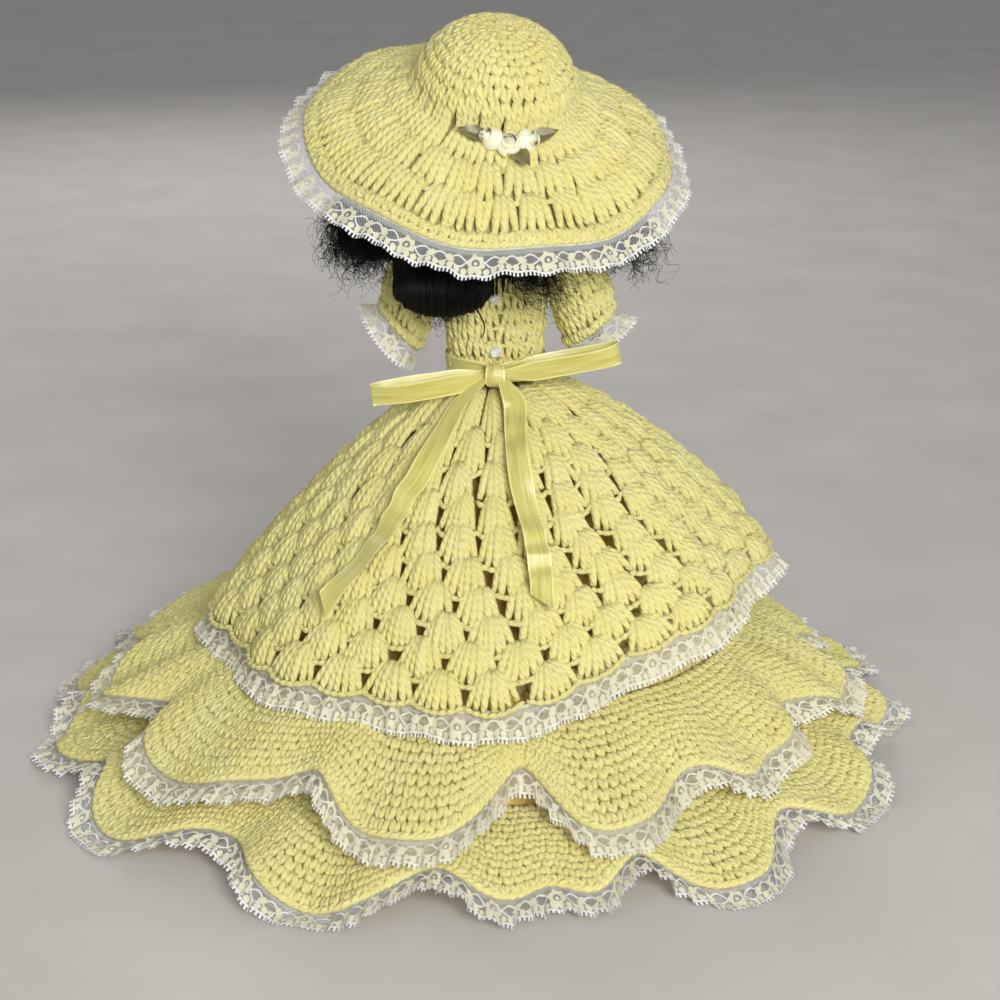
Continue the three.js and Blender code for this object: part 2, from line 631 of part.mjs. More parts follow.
function leaf() {
  const rings = [0, 0.35, 0.75, 1].map((share) => {
    const half = 0.4 + 2.4 * sin(PI * Math.min(share * 0.95 + 0.05, 0.97));
    const lift = 2.5 * share * share;
    const x = share * LEAF_LENGTH;
    const ridge = vector(x, 0, lift + 0.9);
    const keel = vector(x, 0, lift - 0.4);
    return [vector(x, -half, lift), ridge, vector(x, half, lift), keel];
  });
  return loft(rings);
}

// Sets a small trimming on the hat at an angle and radius, leaning outwards, and trims its foot to the hat
function onHat(geometry, angle, radius, tilt, sink, spin) {
  const seat = new THREE.Matrix4().makeTranslation(radius, 0, hatHeight(radius) + HAT_WALL / 2 - sink);
  const turned = new THREE.Matrix4().makeRotationZ(angle).multiply(seat);
  turned.multiply(new THREE.Matrix4().makeRotationY(degToRad(tilt)));
  turned.multiply(new THREE.Matrix4().makeRotationZ(spin));
  return cut(geometry.applyMatrix4(hatTurn.clone().multiply(turned)), hatForm(CLEARANCE));
}

const FLOWER_ANGLE = degToRad(101);
const FLOWER_RADIUS = CROWN_RADIUS + 6;
const FLOWER_STEP = (2.2 * ROSEBUD_RADIUS) / FLOWER_RADIUS;
for (let i = 0; i < ROSEBUD_COUNT; i++) {
  const angle = FLOWER_ANGLE + (i - (ROSEBUD_COUNT - 1) / 2) * FLOWER_STEP;
  const bud = onHat(rosebud(i), angle, FLOWER_RADIUS - (i % 2) * 1.2, 14, 1.2, i);
  place(`rosebud_${i + 1}`, bud, 'rose');
}
const LEAF_REACH = ((ROSEBUD_COUNT / 2) * FLOWER_STEP) + 2.2 / CROWN_RADIUS;
place('rose_leaf_1', onHat(leaf(), FLOWER_ANGLE - LEAF_REACH, FLOWER_RADIUS, 12, 0.3, -PI / 2), 'leaf');
place('rose_leaf_2', onHat(leaf(), FLOWER_ANGLE + LEAF_REACH, FLOWER_RADIUS, 12, 0.3, PI / 2), 'leaf');
const frontLeafRadius = FLOWER_RADIUS + 1.3 * ROSEBUD_RADIUS;
place('rose_leaf_3', onHat(leaf(), FLOWER_ANGLE + FLOWER_STEP / 2, frontLeafRadius, 28, 0.3, 0), 'leaf');

// Bodice: follows the torso from the waist to the neckline, open at the neck and at both armholes
const BODICE_BASE = WAIST_HEIGHT - 3;
const NECKLINE_HEIGHT = SHOULDER_HEIGHT + 6;
const SLEEVE_FACE = SHOULDER_HALF_WIDTH + YARN_WALL + 0.2;

function makeBodice() {
  const { halfWidth, halfDepth, centreY } = torsoAt(BODICE_BASE);
  const base = (z, grow) => levelRing(z, halfWidth + grow, halfDepth + grow, TORSO_SIDES, 0, centreY);
  const layer = (grow) => torsoForm(grow, WAIST_HEIGHT, NECKLINE_HEIGHT);
  const outside = loft([base(BODICE_BASE, CLOTH_EASE + YARN_WALL), ...layer(CLOTH_EASE + YARN_WALL)]);
  const lining = layer(CLOTH_EASE);
  const raised = lining.at(-1).map((point) => point.clone().setZ(NECKLINE_HEIGHT + 1));
  const hollow = loft([base(BODICE_BASE - 1, CLOTH_EASE), base(BODICE_BASE, CLOTH_EASE), ...lining, raised]);
  const reach = SLEEVE_FACE - CLEARANCE;
  const flanks = new THREE.BoxGeometry(2 * reach, 100, 200).translate(0, 0, SHOULDER_HEIGHT);
  const armhole = barAcross(SLEEVE_RIM_RADIUS - 0.5, -60, 60, 0, SHOULDER_HEIGHT - 1.5, 20);
  return common(cut(outside, hollow, armhole), flanks);
}

// Puff sleeve: rings that swing from the armhole's plane to the cuff's
const cuffLean = (side) => (side > 0 ? 40 : 52);

function sleeveRing(side, share, angle, radius) {
  const start = vector(side * (SLEEVE_FACE + SLEEVE_WALL / 2), 0, SHOULDER_HEIGHT - 3);
  const bend = vector(side * (SLEEVE_FACE + 14), 0, SHOULDER_HEIGHT - 11);
  const end = vector(side * (ARM_FACE + ELBOW_OUT * 0.9), 0, SHOULDER_HEIGHT - ELBOW_DROP * 0.9);
  const route = new THREE.QuadraticBezierCurve3(start, bend, end);
  const lean = degToRad(cuffLean(side)) * Math.min(share * 1.2, 1);
  const across = vector(side * sin(lean), 0, cos(lean));
  const centre = route.getPoint(clamp(share, 0, 1));
  const beyond = Math.max(share - 1, 0);
  centre.addScaledVector(vector(side * cos(lean), 0, -sin(lean)), beyond * LACE_WIDTH);
  centre.addScaledVector(vector(0, 1, 0), radius * cos(angle));
  return centre.addScaledVector(across, radius * sin(angle));
}

function sleeveRadius(share) {
  if (share < 0.55) {
    return lerp(SLEEVE_RIM_RADIUS, SLEEVE_PUFF_RADIUS, sin((share / 0.55) * PI / 2));
  }
  return lerp(SLEEVE_PUFF_RADIUS, SLEEVE_CUFF_RADIUS, smoothstep(share, 0.55, 1));
}

for (const [name, side] of [['left', 1], ['right', -1]]) {
  const sleeve = (angle, share) => sleeveRing(side, share, side * angle, sleeveRadius(share));
  const lace = (angle, share) => {
    const flute = share * sin(6 * angle);
    const radius = SLEEVE_CUFF_RADIUS + share * LACE_WIDTH * 0.32 + flute;
    const start = (CLEARANCE + LACE_WALL) / LACE_WIDTH;
    return sleeveRing(side, 1 + start + share * 0.7, side * angle, radius);
  };
  place(`sleeve_${name}`, cut(clothShell(sleeve, 16, 4, SLEEVE_WALL), armForm(side, CLOTH_EASE)), 'yarn');
  place(`sleeve_lace_${name}`, cut(clothShell(lace, 24, 1, LACE_WALL), armForm(side, CLOTH_EASE)), 'lace');
}
place('bodice', makeBodice(), 'yarn');

// Underskirt: a plain flared lining from the hips to a flat hem on the floor
const UNDERSKIRT_TOP = WAIST_HEIGHT - 14;
const UNDERSKIRT_FLARE = 0.72;

function underskirtSurface(angle, share) {
  const { halfWidth, halfDepth } = torsoAt(UNDERSKIRT_TOP);
  const fit = CLOTH_EASE + UNDERSKIRT_WALL * 0.27;
  const top = ellipseRadius(halfWidth + fit, halfDepth + fit, angle);
  const spread = Math.pow(share + 0.02, UNDERSKIRT_FLARE) - Math.pow(0.02, UNDERSKIRT_FLARE);
  const full = Math.pow(1.02, UNDERSKIRT_FLARE) - Math.pow(0.02, UNDERSKIRT_FLARE);
  return polar(lerp(top, UNDERSKIRT_HEM_RADIUS, spread / full), angle, UNDERSKIRT_TOP * (1 - share));
}

// Lining cut a little long, so that the floor levels its hem into a flat ring
const underskirtCloth = (angle, share) => underskirtSurface(angle, share * 1.02);

// Overskirt: shell-stitch cloth from the waist to a hem that lifts on the doll's right
const OVERSKIRT_TOP = BODICE_BASE - CLEARANCE - YARN_WALL / 2;
const liftOf = (angle) => smoothstep(-cos(angle), -0.09, 1);

function overskirtSurface(angle, share) {
  const { halfWidth, halfDepth } = torsoAt(BODICE_BASE);
  const fit = CLOTH_EASE + YARN_WALL / 2;
  const top = ellipseRadius(halfWidth + fit, halfDepth + fit, angle);
  const flare = 0.75 - 0.12 * liftOf(angle);
  const start = Math.pow(0.03, flare);
  const spread = (Math.pow(share + 0.03, flare) - start) / (Math.pow(1.03, flare) - start);
  const hem = OVERSKIRT_RADIUS + 0.3 * SKIRT_SWAY * cos(angle);
  const fold = OVERSKIRT_FOLD_DEPTH * share * share * sin(OVERSKIRT_FOLDS * angle + sin(2 * angle));
  const bottom = OVERSKIRT_HEM_HEIGHT + OVERSKIRT_HEM_LIFT * liftOf(angle);
  return polar(lerp(top, hem, spread) + fold, angle, lerp(OVERSKIRT_TOP, bottom, share));
}

// How far a tier is drawn in at an angle by its tucks, each with its place in degrees and its depth
function tuckDepth(tucks, angle) {
  return tucks.reduce((sum, [place, deep]) => {
    const apart = THREE.MathUtils.euclideanModulo(THREE.MathUtils.radToDeg(angle) - place + 180, 360) - 180;
    return sum + deep * Math.exp(-((apart / TUCK_WIDTH) ** 2));
  }, 0);
}

// Ruffled tier: gathered on the underskirt at its top height, folding more and more towards its hem
function tierSurface({ top, radius, hem, folds, lift, phase, tucks }) {
  return (angle, share) => {
    const on = underskirtSurface(angle, 1 - top / UNDERSKIRT_TOP);
    const seat = Math.hypot(on.x, on.y) + UNDERSKIRT_WALL / 2 + CLEARANCE + TIER_WALL * 0.6;
    const sweep = folds * angle + phase + 1.3 * sin(2 * angle) + 0.9 * sin(3 * angle + 1);
    const reach = lerp(seat, radius + SKIRT_SWAY * cos(angle), share);
    const deep = TIER_FOLD_DEPTH * (1 + 0.35 * sin(5 * angle + 2 * phase));
    const tuck = tuckDepth(tucks, angle);
    const fold = share * share * (deep * (cos(sweep) - 0.22 * cos(2 * sweep)) - tuck);
    const wave = share * share * (lift * (0.5 - 0.5 * cos(sweep)) + 0.3 * tuck);
    const crown = 2.5 * sin(PI * share);
    return polar(reach + fold, angle, lerp(top, hem, share) + wave + crown);
  };
}

const middleTier = tierSurface({
  top: MIDDLE_TIER_TOP, radius: MIDDLE_TIER_RADIUS, hem: MIDDLE_TIER_HEM_HEIGHT - TIER_LIFT / 2,
  folds: MIDDLE_TIER_FOLDS, lift: TIER_LIFT, phase: 3,
  tucks: [[96, 15], [62, 9], [140, 9], [215, 9], [330, 11]],
});
const lowerTier = tierSurface({
  top: LOWER_TIER_TOP, radius: LOWER_TIER_RADIUS, hem: TIER_WALL / 2 - HEM_CUT,
  folds: LOWER_TIER_FOLDS, lift: TIER_LIFT, phase: 2,
  tucks: [[97, 18], [80, 10], [45, 9], [171, 12], [220, 9], [262, 11], [305, 9]],
});

// Lace sewn along a hem: goes on in the cloth's own direction and droops, but not into the floor
function hemLace(surface, wall) {
  return (angle, share) => {
    const edge = surface(angle, 1);
    const along = edge.clone().sub(surface(angle, 0.97)).normalize();
    const point = edge.addScaledVector(along, CLEARANCE + wall * 0.2 + share * LACE_WIDTH);
    point.z = Math.max(point.z - share, LACE_WALL / 2 + 0.1 + share * LACE_WALL);
    return point;
  };
}

place('underskirt', clothShell(underskirtCloth, 32, 4, UNDERSKIRT_WALL), 'yarn');
place('overskirt', clothShell(overskirtSurface, 54, 4, YARN_WALL), 'yarn');
place('overskirt_lace', clothShell(hemLace(overskirtSurface, YARN_WALL), 54, 1, LACE_WALL), 'lace');
place('ruffle_middle', clothShell(middleTier, 96, 3, TIER_WALL), 'yarn');
place('ruffle_middle_lace', clothShell(hemLace(middleTier, TIER_WALL), 96, 1, LACE_WALL), 'lace');
place('ruffle_lower', clothShell(lowerTier, 110, 3, TIER_WALL), 'yarn');
place('ruffle_lower_lace', clothShell(hemLace(lowerTier, TIER_WALL), 110, 1, LACE_WALL), 'lace');

// Ribbon round the waist
const SASH_BASE = WAIST_HEIGHT - 2;
const sashGrow = CLOTH_EASE + YARN_WALL + CLEARANCE + RIBBON_WALL / 2;

function sashSurface(angle, share) {
  const z = SASH_BASE + RIBBON_WIDTH * (1 - share);
  const { halfWidth, halfDepth, centreY } = torsoAt(z);
  const radius = ellipseRadius(halfWidth + sashGrow, halfDepth + sashGrow, angle);
  return polar(radius, angle, z).add(vector(0, centreY, 0));
}

place('sash_band', clothShell(sashSurface, 32, 1, RIBBON_WALL), 'satin');

// Bow at the back of the waist: a knot, two loops and two tails
const KNOT_HEIGHT = SASH_BASE + RIBBON_WIDTH / 2;
const knotBack = sashSurface(PI / 2, 0).y + RIBBON_WALL / 2 + CLEARANCE;
const knot = vector(0, knotBack + BOW_KNOT_SIZE / 2, KNOT_HEIGHT);

function makeKnot() {
  const shares = [0, 0.25, 0.75, 1];
  const rings = shares.map((share) => {
    const half = (BOW_KNOT_SIZE / 2) * (share === 0 || share === 1 ? 0.8 : 1);
    const y = knotBack + share * BOW_KNOT_SIZE;
    return Array.from({ length: 12 }, (_, i) => {
      const angle = (TURN * i) / 12;
      return vector(knot.x + half * cos(angle), y, knot.z + half * sin(angle));
    });
  });
  return loft(rings);
}

// One loop: out along its back strand and home along its front strand, rising by a slope
function makeBowLoop(side, slope) {
  const steps = 16;
  const start = BOW_KNOT_SIZE / 2 + CLEARANCE;
  const stops = Array.from({ length: steps + 1 }, (_, i) => {
    const share = i / steps;
    const out = (1 - cos(TURN * share)) / 2;
    const x = start + out * (BOW_LOOP_REACH - start);
    const open = (1 - 2 * share) * 1.4 + 4.2 * sin(TURN * share);
    const rise = slope * x - 3 * slope * slope * out;
    const at = vector(knot.x + side * x, knot.y + 4 * out + open, knot.z + rise);
    return { at, across: vector(-side * slope, 0, 1).normalize() };
  });
  return ribbon(stops, RIBBON_WIDTH, RIBBON_WALL);
}

// One tail: lies down the overskirt from below the knot to a place beside the middle line
function makeTail(side, drift, length) {
  const steps = 12;
  const start = 0.05;
  const end = start + length / Math.hypot(OVERSKIRT_RADIUS, OVERSKIRT_TOP - OVERSKIRT_HEM_HEIGHT);
  const lift = YARN_WALL / 2 + CLEARANCE + RIBBON_WALL / 2 + 0.4;
  const stops = Array.from({ length: steps + 1 }, (_, i) => {
    const share = lerp(start, end, i / steps);
    const straight = overskirtSurface(PI / 2, share).y;
    const x = side * (TAIL_OUT + (drift * i) / steps);
    const angle = Math.acos(clamp(x / straight, -1, 1));
    const normal = surfaceNormal(overskirtSurface, angle, share);
    return { at: overskirtSurface(angle, share).addScaledVector(normal, lift), normal };
  });
  stops.forEach((stop, i) => {
    const along = stops[Math.min(i + 1, steps)].at.clone().sub(stops[Math.max(i - 1, 0)].at);
    stop.across = stop.normal.clone().cross(along).normalize();
  });
  return ribbon(stops, RIBBON_WIDTH, RIBBON_WALL);
}

place('bow_knot', makeKnot(), 'satin');
place('bow_loop_left', makeBowLoop(1, -0.14), 'satin');
place('bow_loop_right', makeBowLoop(-1, 0.22), 'satin');
place('ribbon_tail_left', makeTail(1, TAIL_DRIFT_LEFT, TAIL_LENGTH_LEFT), 'satin');
place('ribbon_tail_right', makeTail(-1, TAIL_DRIFT_RIGHT, TAIL_LENGTH_RIGHT), 'satin');

// Clear faceted buttons down the middle of the bodice's back
function makeButton(z) {
  const { halfDepth, centreY } = torsoAt(z);
  const back = centreY + halfDepth + CLOTH_EASE + YARN_WALL + CLEARANCE;
  const profile = [
    new THREE.Vector2(0, 0),
    new THREE.Vector2(BUTTON_RADIUS * 0.8, 0),
    new THREE.Vector2(BUTTON_RADIUS, BUTTON_DEPTH * 0.4),
    new THREE.Vector2(BUTTON_RADIUS * 0.6, BUTTON_DEPTH),
    new THREE.Vector2(0, BUTTON_DEPTH),
  ];
  return new THREE.LatheGeometry(profile, 10).translate(0, back, z);
}

place('back_button_top', makeButton(WAIST_HEIGHT + BUTTON_RISE + BUTTON_SPACING), 'button');
place('back_button_lower', makeButton(WAIST_HEIGHT + BUTTON_RISE), 'button');

// Origin under the middle of the footprint
root.updateMatrixWorld(true);
const bounds = new THREE.Box3().setFromObject(root);
const footprint = bounds.getCenter(vector(0, 0, 0));
root.position.set(-footprint.x, -footprint.y, -bounds.min.z);

export default root;
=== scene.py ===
import math

import bpy
import numpy as np
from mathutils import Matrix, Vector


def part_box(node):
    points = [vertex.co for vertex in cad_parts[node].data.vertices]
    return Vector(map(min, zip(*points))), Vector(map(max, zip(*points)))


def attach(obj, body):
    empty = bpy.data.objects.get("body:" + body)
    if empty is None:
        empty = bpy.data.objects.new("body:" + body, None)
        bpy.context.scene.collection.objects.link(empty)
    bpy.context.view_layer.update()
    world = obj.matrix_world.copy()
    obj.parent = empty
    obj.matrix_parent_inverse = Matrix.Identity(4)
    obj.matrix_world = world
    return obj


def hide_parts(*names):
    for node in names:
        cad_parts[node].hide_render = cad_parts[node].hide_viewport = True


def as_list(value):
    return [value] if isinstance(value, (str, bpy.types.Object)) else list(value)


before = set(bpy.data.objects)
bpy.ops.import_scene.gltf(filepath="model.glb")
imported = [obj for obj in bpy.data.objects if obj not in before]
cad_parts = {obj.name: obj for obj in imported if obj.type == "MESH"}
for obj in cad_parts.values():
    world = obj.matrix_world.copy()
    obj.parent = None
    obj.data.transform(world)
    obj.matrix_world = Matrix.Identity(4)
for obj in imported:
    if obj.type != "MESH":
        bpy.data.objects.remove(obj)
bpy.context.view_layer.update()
rng = np.random.default_rng(11)

# Driving sizes, in millimetres about the doll's own axis. +Y is the side that the camera sees
AXIS = np.array([-9.903, 5.7242, 0.0])
YARN_RADIUS = 1.45
STITCH = 4.7
SMALL_SHELL = 8.6
UNDERSKIRT_TOP = 158.0
UNDERSKIRT_RADIUS = 138.0
OVERSKIRT_TOP = 166.7
OVERSKIRT_HEM = 62.0
OVERSKIRT_RADIUS = 124.0
OVERSKIRT_RAISED = 30.0
TIER_CLEARANCE = 3.7
FOLD_DEPTH = 9.5
FOLD_LIFT = 11.0
CREASE_DEPTH = 1.8
CREASE_LIFT = 2.6
SLEEVE_TOP = 11.5
SLEEVE_PUFF = 15.0
SLEEVE_CUFF = 12.5
SASH_HEIGHT = 175.0
BODICE_TOP = 235.0
BODICE_BASE = 169.0
CHIN = 246.0
HEAD_WIDE = 18.3
HEAD_DEEP = 21.0
HEAD_TALL = 45.0
HAT_HEIGHT = 294.0
CROWN_RADIUS = 34.0
BRIM_RADIUS = 80.0
BRIM_DROP = 24.0
LACE_WIDTH = 13.0
LACE_REPEAT = 31.0
RIBBON_WIDTH = 10.0
KNOT_LENGTH = 30.0
LOOP_REACH = 50.6
ROSE_RADIUS = 6.0
ROSE_HEIGHT = 11.0
LEAF_LENGTH = 13.0

# A full turn in radians, the neck's turn in degrees, the share of a surface at its hem, and both sides
TURN = 2 * math.pi
NECK_TURN = 20.0
HEM = 0.985
SIDES = (("left", 1), ("right", -1))


# Small maths for arrays
def unit(vectors):
    return vectors / np.maximum(np.linalg.norm(vectors, axis=-1, keepdims=True), 1e-9)


def mix(a, b, share):
    return a + (b - a) * share


def smooth(x, low, high):
    t = np.clip((x - low) / (high - low), 0, 1)
    return t * t * (3 - 2 * t)


def stack(x, y, z):
    return np.stack(np.broadcast_arrays(x, y, z), axis=-1)


def polar(radius, angle, z, middle=0.0):
    return stack(radius * np.cos(angle), middle + radius * np.sin(angle), z)


def ellipse(a, b, angle):
    return a * b / np.hypot(b * np.cos(angle), a * np.sin(angle))


def jitter(size, shape):
    return rng.uniform(-size, size, shape)


def around(count):
    return np.linspace(0, TURN, count, endpoint=False)


# Length run along a line of points, from 0 at the first of them
def run(points, closed=False):
    if closed:
        points = np.concatenate([points, points[:1]])
    return np.concatenate([[0], np.cumsum(np.linalg.norm(np.diff(points, axis=0), axis=-1))])


# A table's other columns, read at values of its first one
def read(table, at):
    return [np.interp(at, table[:, 0], column) for column in table[:, 1:].T]


def add_object(name, data):
    made = bpy.data.objects.new(name, data)
    bpy.context.scene.collection.objects.link(made)
    return made


# One mesh object gathered from grids of points
class Pile:
    def __init__(self):
        self.points = []
        self.quads = []
        self.uvs = []
        self.skins = []
        self.count = 0

    def add(self, points, quads, uvs):
        self.points.append(points.reshape(-1, 3))
        self.quads.append(quads.reshape(-1, 4) + self.count)
        self.uvs.append(uvs.reshape(-1, 4, 2))
        self.count += len(self.points[-1])

    # A whole grid of points, with UVs from a value at each column's edge and at each row
    def sheet(self, points, across, down, closed=True):
        rows, columns = points.shape[:2]
        self.add(points, grid_quads(rows, columns, closed), grid_uvs(across, down))

    def make(self, name, material):
        points = (np.concatenate(self.points) + AXIS) / 1000
        quads = np.concatenate(self.quads)
        uvs = np.concatenate(self.uvs)
        mesh = bpy.data.meshes.new(name)
        mesh.vertices.add(len(points))
        mesh.vertices.foreach_set("co", points.ravel())
        mesh.loops.add(quads.size)
        mesh.loops.foreach_set("vertex_index", quads.ravel().astype(np.int32))
        mesh.polygons.add(len(quads))
        mesh.polygons.foreach_set("loop_start", np.arange(0, quads.size, 4, dtype=np.int32))
        mesh.polygons.foreach_set("use_smooth", np.ones(len(quads), dtype=bool))
        layer = mesh.uv_layers.new(name="UVMap")
        layer.data.foreach_set("uv", uvs.ravel())
        mesh.update()
        mesh.validate()
        mesh.materials.append(material)
        return add_object(name, mesh)


# Quads of a grid of rows and columns, closed round the columns if asked
def grid_quads(rows, columns, closed):
    row = np.arange(rows - 1)[:, None]
    column = np.arange(columns if closed else columns - 1)[None, :]
    beside = (column + 1) % columns
    corners = [row * columns + column, row * columns + beside]
    corners += [(row + 1) * columns + beside, (row + 1) * columns + column]
    return np.stack(corners, axis=-1)


# UVs for those quads from a value per row and one per column edge
def grid_uvs(across, down):
    low_u, low_v = np.meshgrid(across[:-1], down[:-1])
    high_u, high_v = np.meshgrid(across[1:], down[1:])
    corners = [(low_u, low_v), (high_u, low_v), (high_u, high_v), (low_u, high_v)]
    return np.stack([np.stack(corner, axis=-1) for corner in corners], axis=-2)


# Points and outward normals of a surface at angles and shares, raised by a height
def raised(surface, angle, share, height):
    step = 1e-3
    down = surface(angle, share + step) - surface(angle, share - step)
    sideways = surface(angle + step, share) - surface(angle - step, share)
    normal = unit(np.cross(down, sideways))
    return surface(angle, share) + normal * np.asarray(height)[..., None], normal


# Round strands of yarn, hair or cord: centres and normals have the shape (strands, stations, 3)
def tubes(pile, centres, normals, radii, sides=6):
    strands, stations = centres.shape[:2]
    along = unit(np.gradient(centres, axis=1))
    beside = unit(np.cross(along, normals))
    above = np.cross(beside, along)
    turn = TURN * (np.arange(sides) + 0.5) / sides
    ring = np.cos(turn)[:, None] * above[:, :, None] + np.sin(turn)[:, None] * beside[:, :, None]
    points = centres[:, :, None] + np.asarray(radii)[..., None, None] * ring
    pile.skins.append(np.stack(np.broadcast_arrays(points, ring), axis=-2).reshape(-1, 2, 3))
    steps = np.linalg.norm(np.diff(centres, axis=1), axis=-1)
    length = np.concatenate([np.zeros((strands, 1)), np.cumsum(steps, axis=1)], axis=1)
    length = length + rng.uniform(0, 50, (strands, 1))
    first = np.arange(strands)[:, None, None, None] * stations * sides
    quads = grid_quads(stations, sides, True)[None] + first
    edge = np.arange(sides + 1) / sides
    u = np.stack([length[:, :-1], length[:, :-1], length[:, 1:], length[:, 1:]], axis=-1)
    v = np.stack([edge[:-1], edge[1:], edge[1:], edge[:-1]], axis=-1)
    shape = (strands, stations - 1, sides, 4)
    uvs = np.stack([np.broadcast_to(u[:, :, None], shape), np.broadcast_to(v[None, None], shape)], axis=-1)
    ends = np.array([[0, 3, 2, 1], [0, 5, 4, 3]]) if sides == 6 else np.zeros((0, 4), int)
    lids = np.concatenate([ends, ends[:, ::-1] + (stations - 1) * sides])
    lids = lids[None] + first[:, :, 0]
    lid_uvs = np.broadcast_to(uvs[:, :1, :1], (strands, 1, len(lids[0]), 4, 2))
    pile.add(points, np.concatenate([quads.reshape(-1, 4), lids.reshape(-1, 4)]),
             np.concatenate([uvs.reshape(-1, 4, 2), lid_uvs.reshape(-1, 4, 2)]))


# A thin cloth on a surface: outer and inner face joined along both edges
def cloth(pile, surface, angles, shares, wall):
    angle, share = np.meshgrid(angles, shares)
    outer, normal = raised(surface, angle, share, np.zeros(angle.shape))
    points = np.concatenate([outer, (outer - wall * normal)[::-1]])
    rows, columns = points.shape[:2]
    quads = grid_quads(rows + 1, columns, True) % (rows * columns)
    across = run(outer[len(outer) // 2], True)
    down = np.concatenate([shares, shares[::-1], shares[:1]])
    pile.add(points, quads, grid_uvs(across, down))


# Angles spaced evenly by length round a surface's ring
def even_angles(surface, share, count, start=0.0):
    fine = np.linspace(0, TURN, 721)
    length = run(surface(fine, np.full_like(fine, share)))
    at = (np.arange(count) + start) / count % 1 * length[-1]
    return np.interp(at, length, fine), length[-1]


def ring_length(surface, share):
    return even_angles(surface, share, 1)[1]


def depth_of(surface, low, high):
    share = np.linspace(low, high, 40)
    lines = surface(around(24)[:, None], share[None])
    return np.linalg.norm(np.diff(lines, axis=1), axis=-1).sum(axis=1).mean()


# Doll's torso by height: half its width, half its depth, and where its middle lies
TORSO = np.array([
    [143, 15, 10.5, 0], [150, 20, 12.1, 0], [157, 20, 13.5, 0], [165, 17.5, 12.5, 0],
    [172, 16, 12, 0], [189, 17, 13, -0.5], [205, 18.5, 14.5, -2], [220, 18.5, 11.5, -0.5],
    [229, 18.5, 9.5, 0], [235, 14.5, 8.2, 0], [239.5, 7, 6.5, 0], [250, 5.5, 5.5, 0],
])


def round_torso(angle, z, grow):
    wide, deep, middle = read(TORSO, z)
    radius = ellipse(wide + grow, deep + grow, angle)
    return polar(radius, angle, z, middle)


def eased(share, start, power):
    return ((share + start) ** power - start ** power) / ((1 + start) ** power - start ** power)


# Cloth surfaces: angle runs round from +X, share from 0 at the top to 1 at the hem
def underskirt_surface(angle, share):
    wide, deep, _ = read(TORSO, UNDERSKIRT_TOP)
    top = ellipse(wide + 1.3, deep + 1.3, angle)
    radius = mix(top, UNDERSKIRT_RADIUS, eased(np.maximum(share, -0.02), 0.02, 0.72))
    z = np.maximum(UNDERSKIRT_TOP * (1 - share), 0)
    return polar(radius, angle, z)


def overskirt_surface(angle, share):
    wide, deep, _ = read(TORSO, BODICE_BASE)
    lift = smooth(-np.cos(angle), -0.09, 1)
    flare = 0.75 - 0.12 * lift
    spread = eased(np.maximum(share, -0.03), 0.03, flare)
    fold = 3.2 * share ** 2 * np.sin(9 * angle + np.sin(2 * angle))
    hem = OVERSKIRT_RADIUS + 3 * np.cos(angle)
    radius = mix(ellipse(wide + 2.5, deep + 2.5, angle), hem, spread) + fold
    z = mix(OVERSKIRT_TOP, OVERSKIRT_HEM + OVERSKIRT_RAISED * lift, share)
    return polar(radius, angle, z)


def tier_surface(top, radius, hem, folds, phase, tucks):
    def surface(angle, share):
        under = underskirt_surface(angle, 1 - top / UNDERSKIRT_TOP)
        seat = np.hypot(under[..., 0], under[..., 1]) + TIER_CLEARANCE
        sweep = folds * angle + phase + 1.3 * np.sin(2 * angle) + 0.9 * np.sin(3 * angle + 1)
        deep = FOLD_DEPTH * (1 + 0.35 * np.sin(5 * angle + 2 * phase))
        tuck = 0
        for place, depth in tucks:
            apart = np.mod(np.degrees(angle) - place + 180, 360) - 180
            tuck = tuck + depth * np.exp(-(apart / 5.5) ** 2)
        gather = np.sign(share) * np.abs(share) ** 1.35
        r = mix(seat, radius + 10 * np.cos(angle), share)
        crease = np.sin(2 * sweep + 1.6 * np.sin(3 * angle + phase)) * (0.6 + 0.4 * np.sin(7 * angle))
        wave = deep * (np.cos(sweep) - 0.22 * np.cos(2 * sweep))
        r = r + gather * (wave - tuck + CREASE_DEPTH * crease)
        rise = FOLD_LIFT * (0.5 - 0.5 * np.cos(sweep))
        lift = gather * (rise + 0.3 * tuck + CREASE_LIFT * (1 + crease))
        z = mix(top, hem, share) + lift + 2.5 * np.sin(np.pi * share)
        return polar(r, angle, z)
    return surface


middle_tier = tier_surface(56, 162, 23.5, 12, 3.0, [(96, 15), (62, 9), (140, 9), (215, 9), (330, 11)])
lower_tier = tier_surface(22, 187, 1.1, 14, 2.0,
                          [(97, 18), (80, 10), (45, 9), (171, 12), (220, 9), (262, 11), (305, 9)])


# Hat: share is the distance from its axis over the brim's radius
def hat_matrix(roll, lean):
    turn_y = np.array([[math.cos(roll), 0, math.sin(roll)], [0, 1, 0], [-math.sin(roll), 0, math.cos(roll)]])
    turn_x = np.array([[1, 0, 0], [0, math.cos(lean), -math.sin(lean)], [0, math.sin(lean), math.cos(lean)]])
    return turn_y @ turn_x


HAT_TURN = hat_matrix(math.radians(-7.5), math.radians(-22))
HAT_PLACE = np.array([0, 2, HAT_HEIGHT])


def on_hat(points):
    return points @ HAT_TURN.T + HAT_PLACE


# Fall of the brim at a distance from the hat's axis
def brim_fall(r):
    return -BRIM_DROP * (r - CROWN_RADIUS) / (BRIM_RADIUS - CROWN_RADIUS)


def brim_wave(angle):
    return 1.6 * np.sin(7 * angle + 0.8)


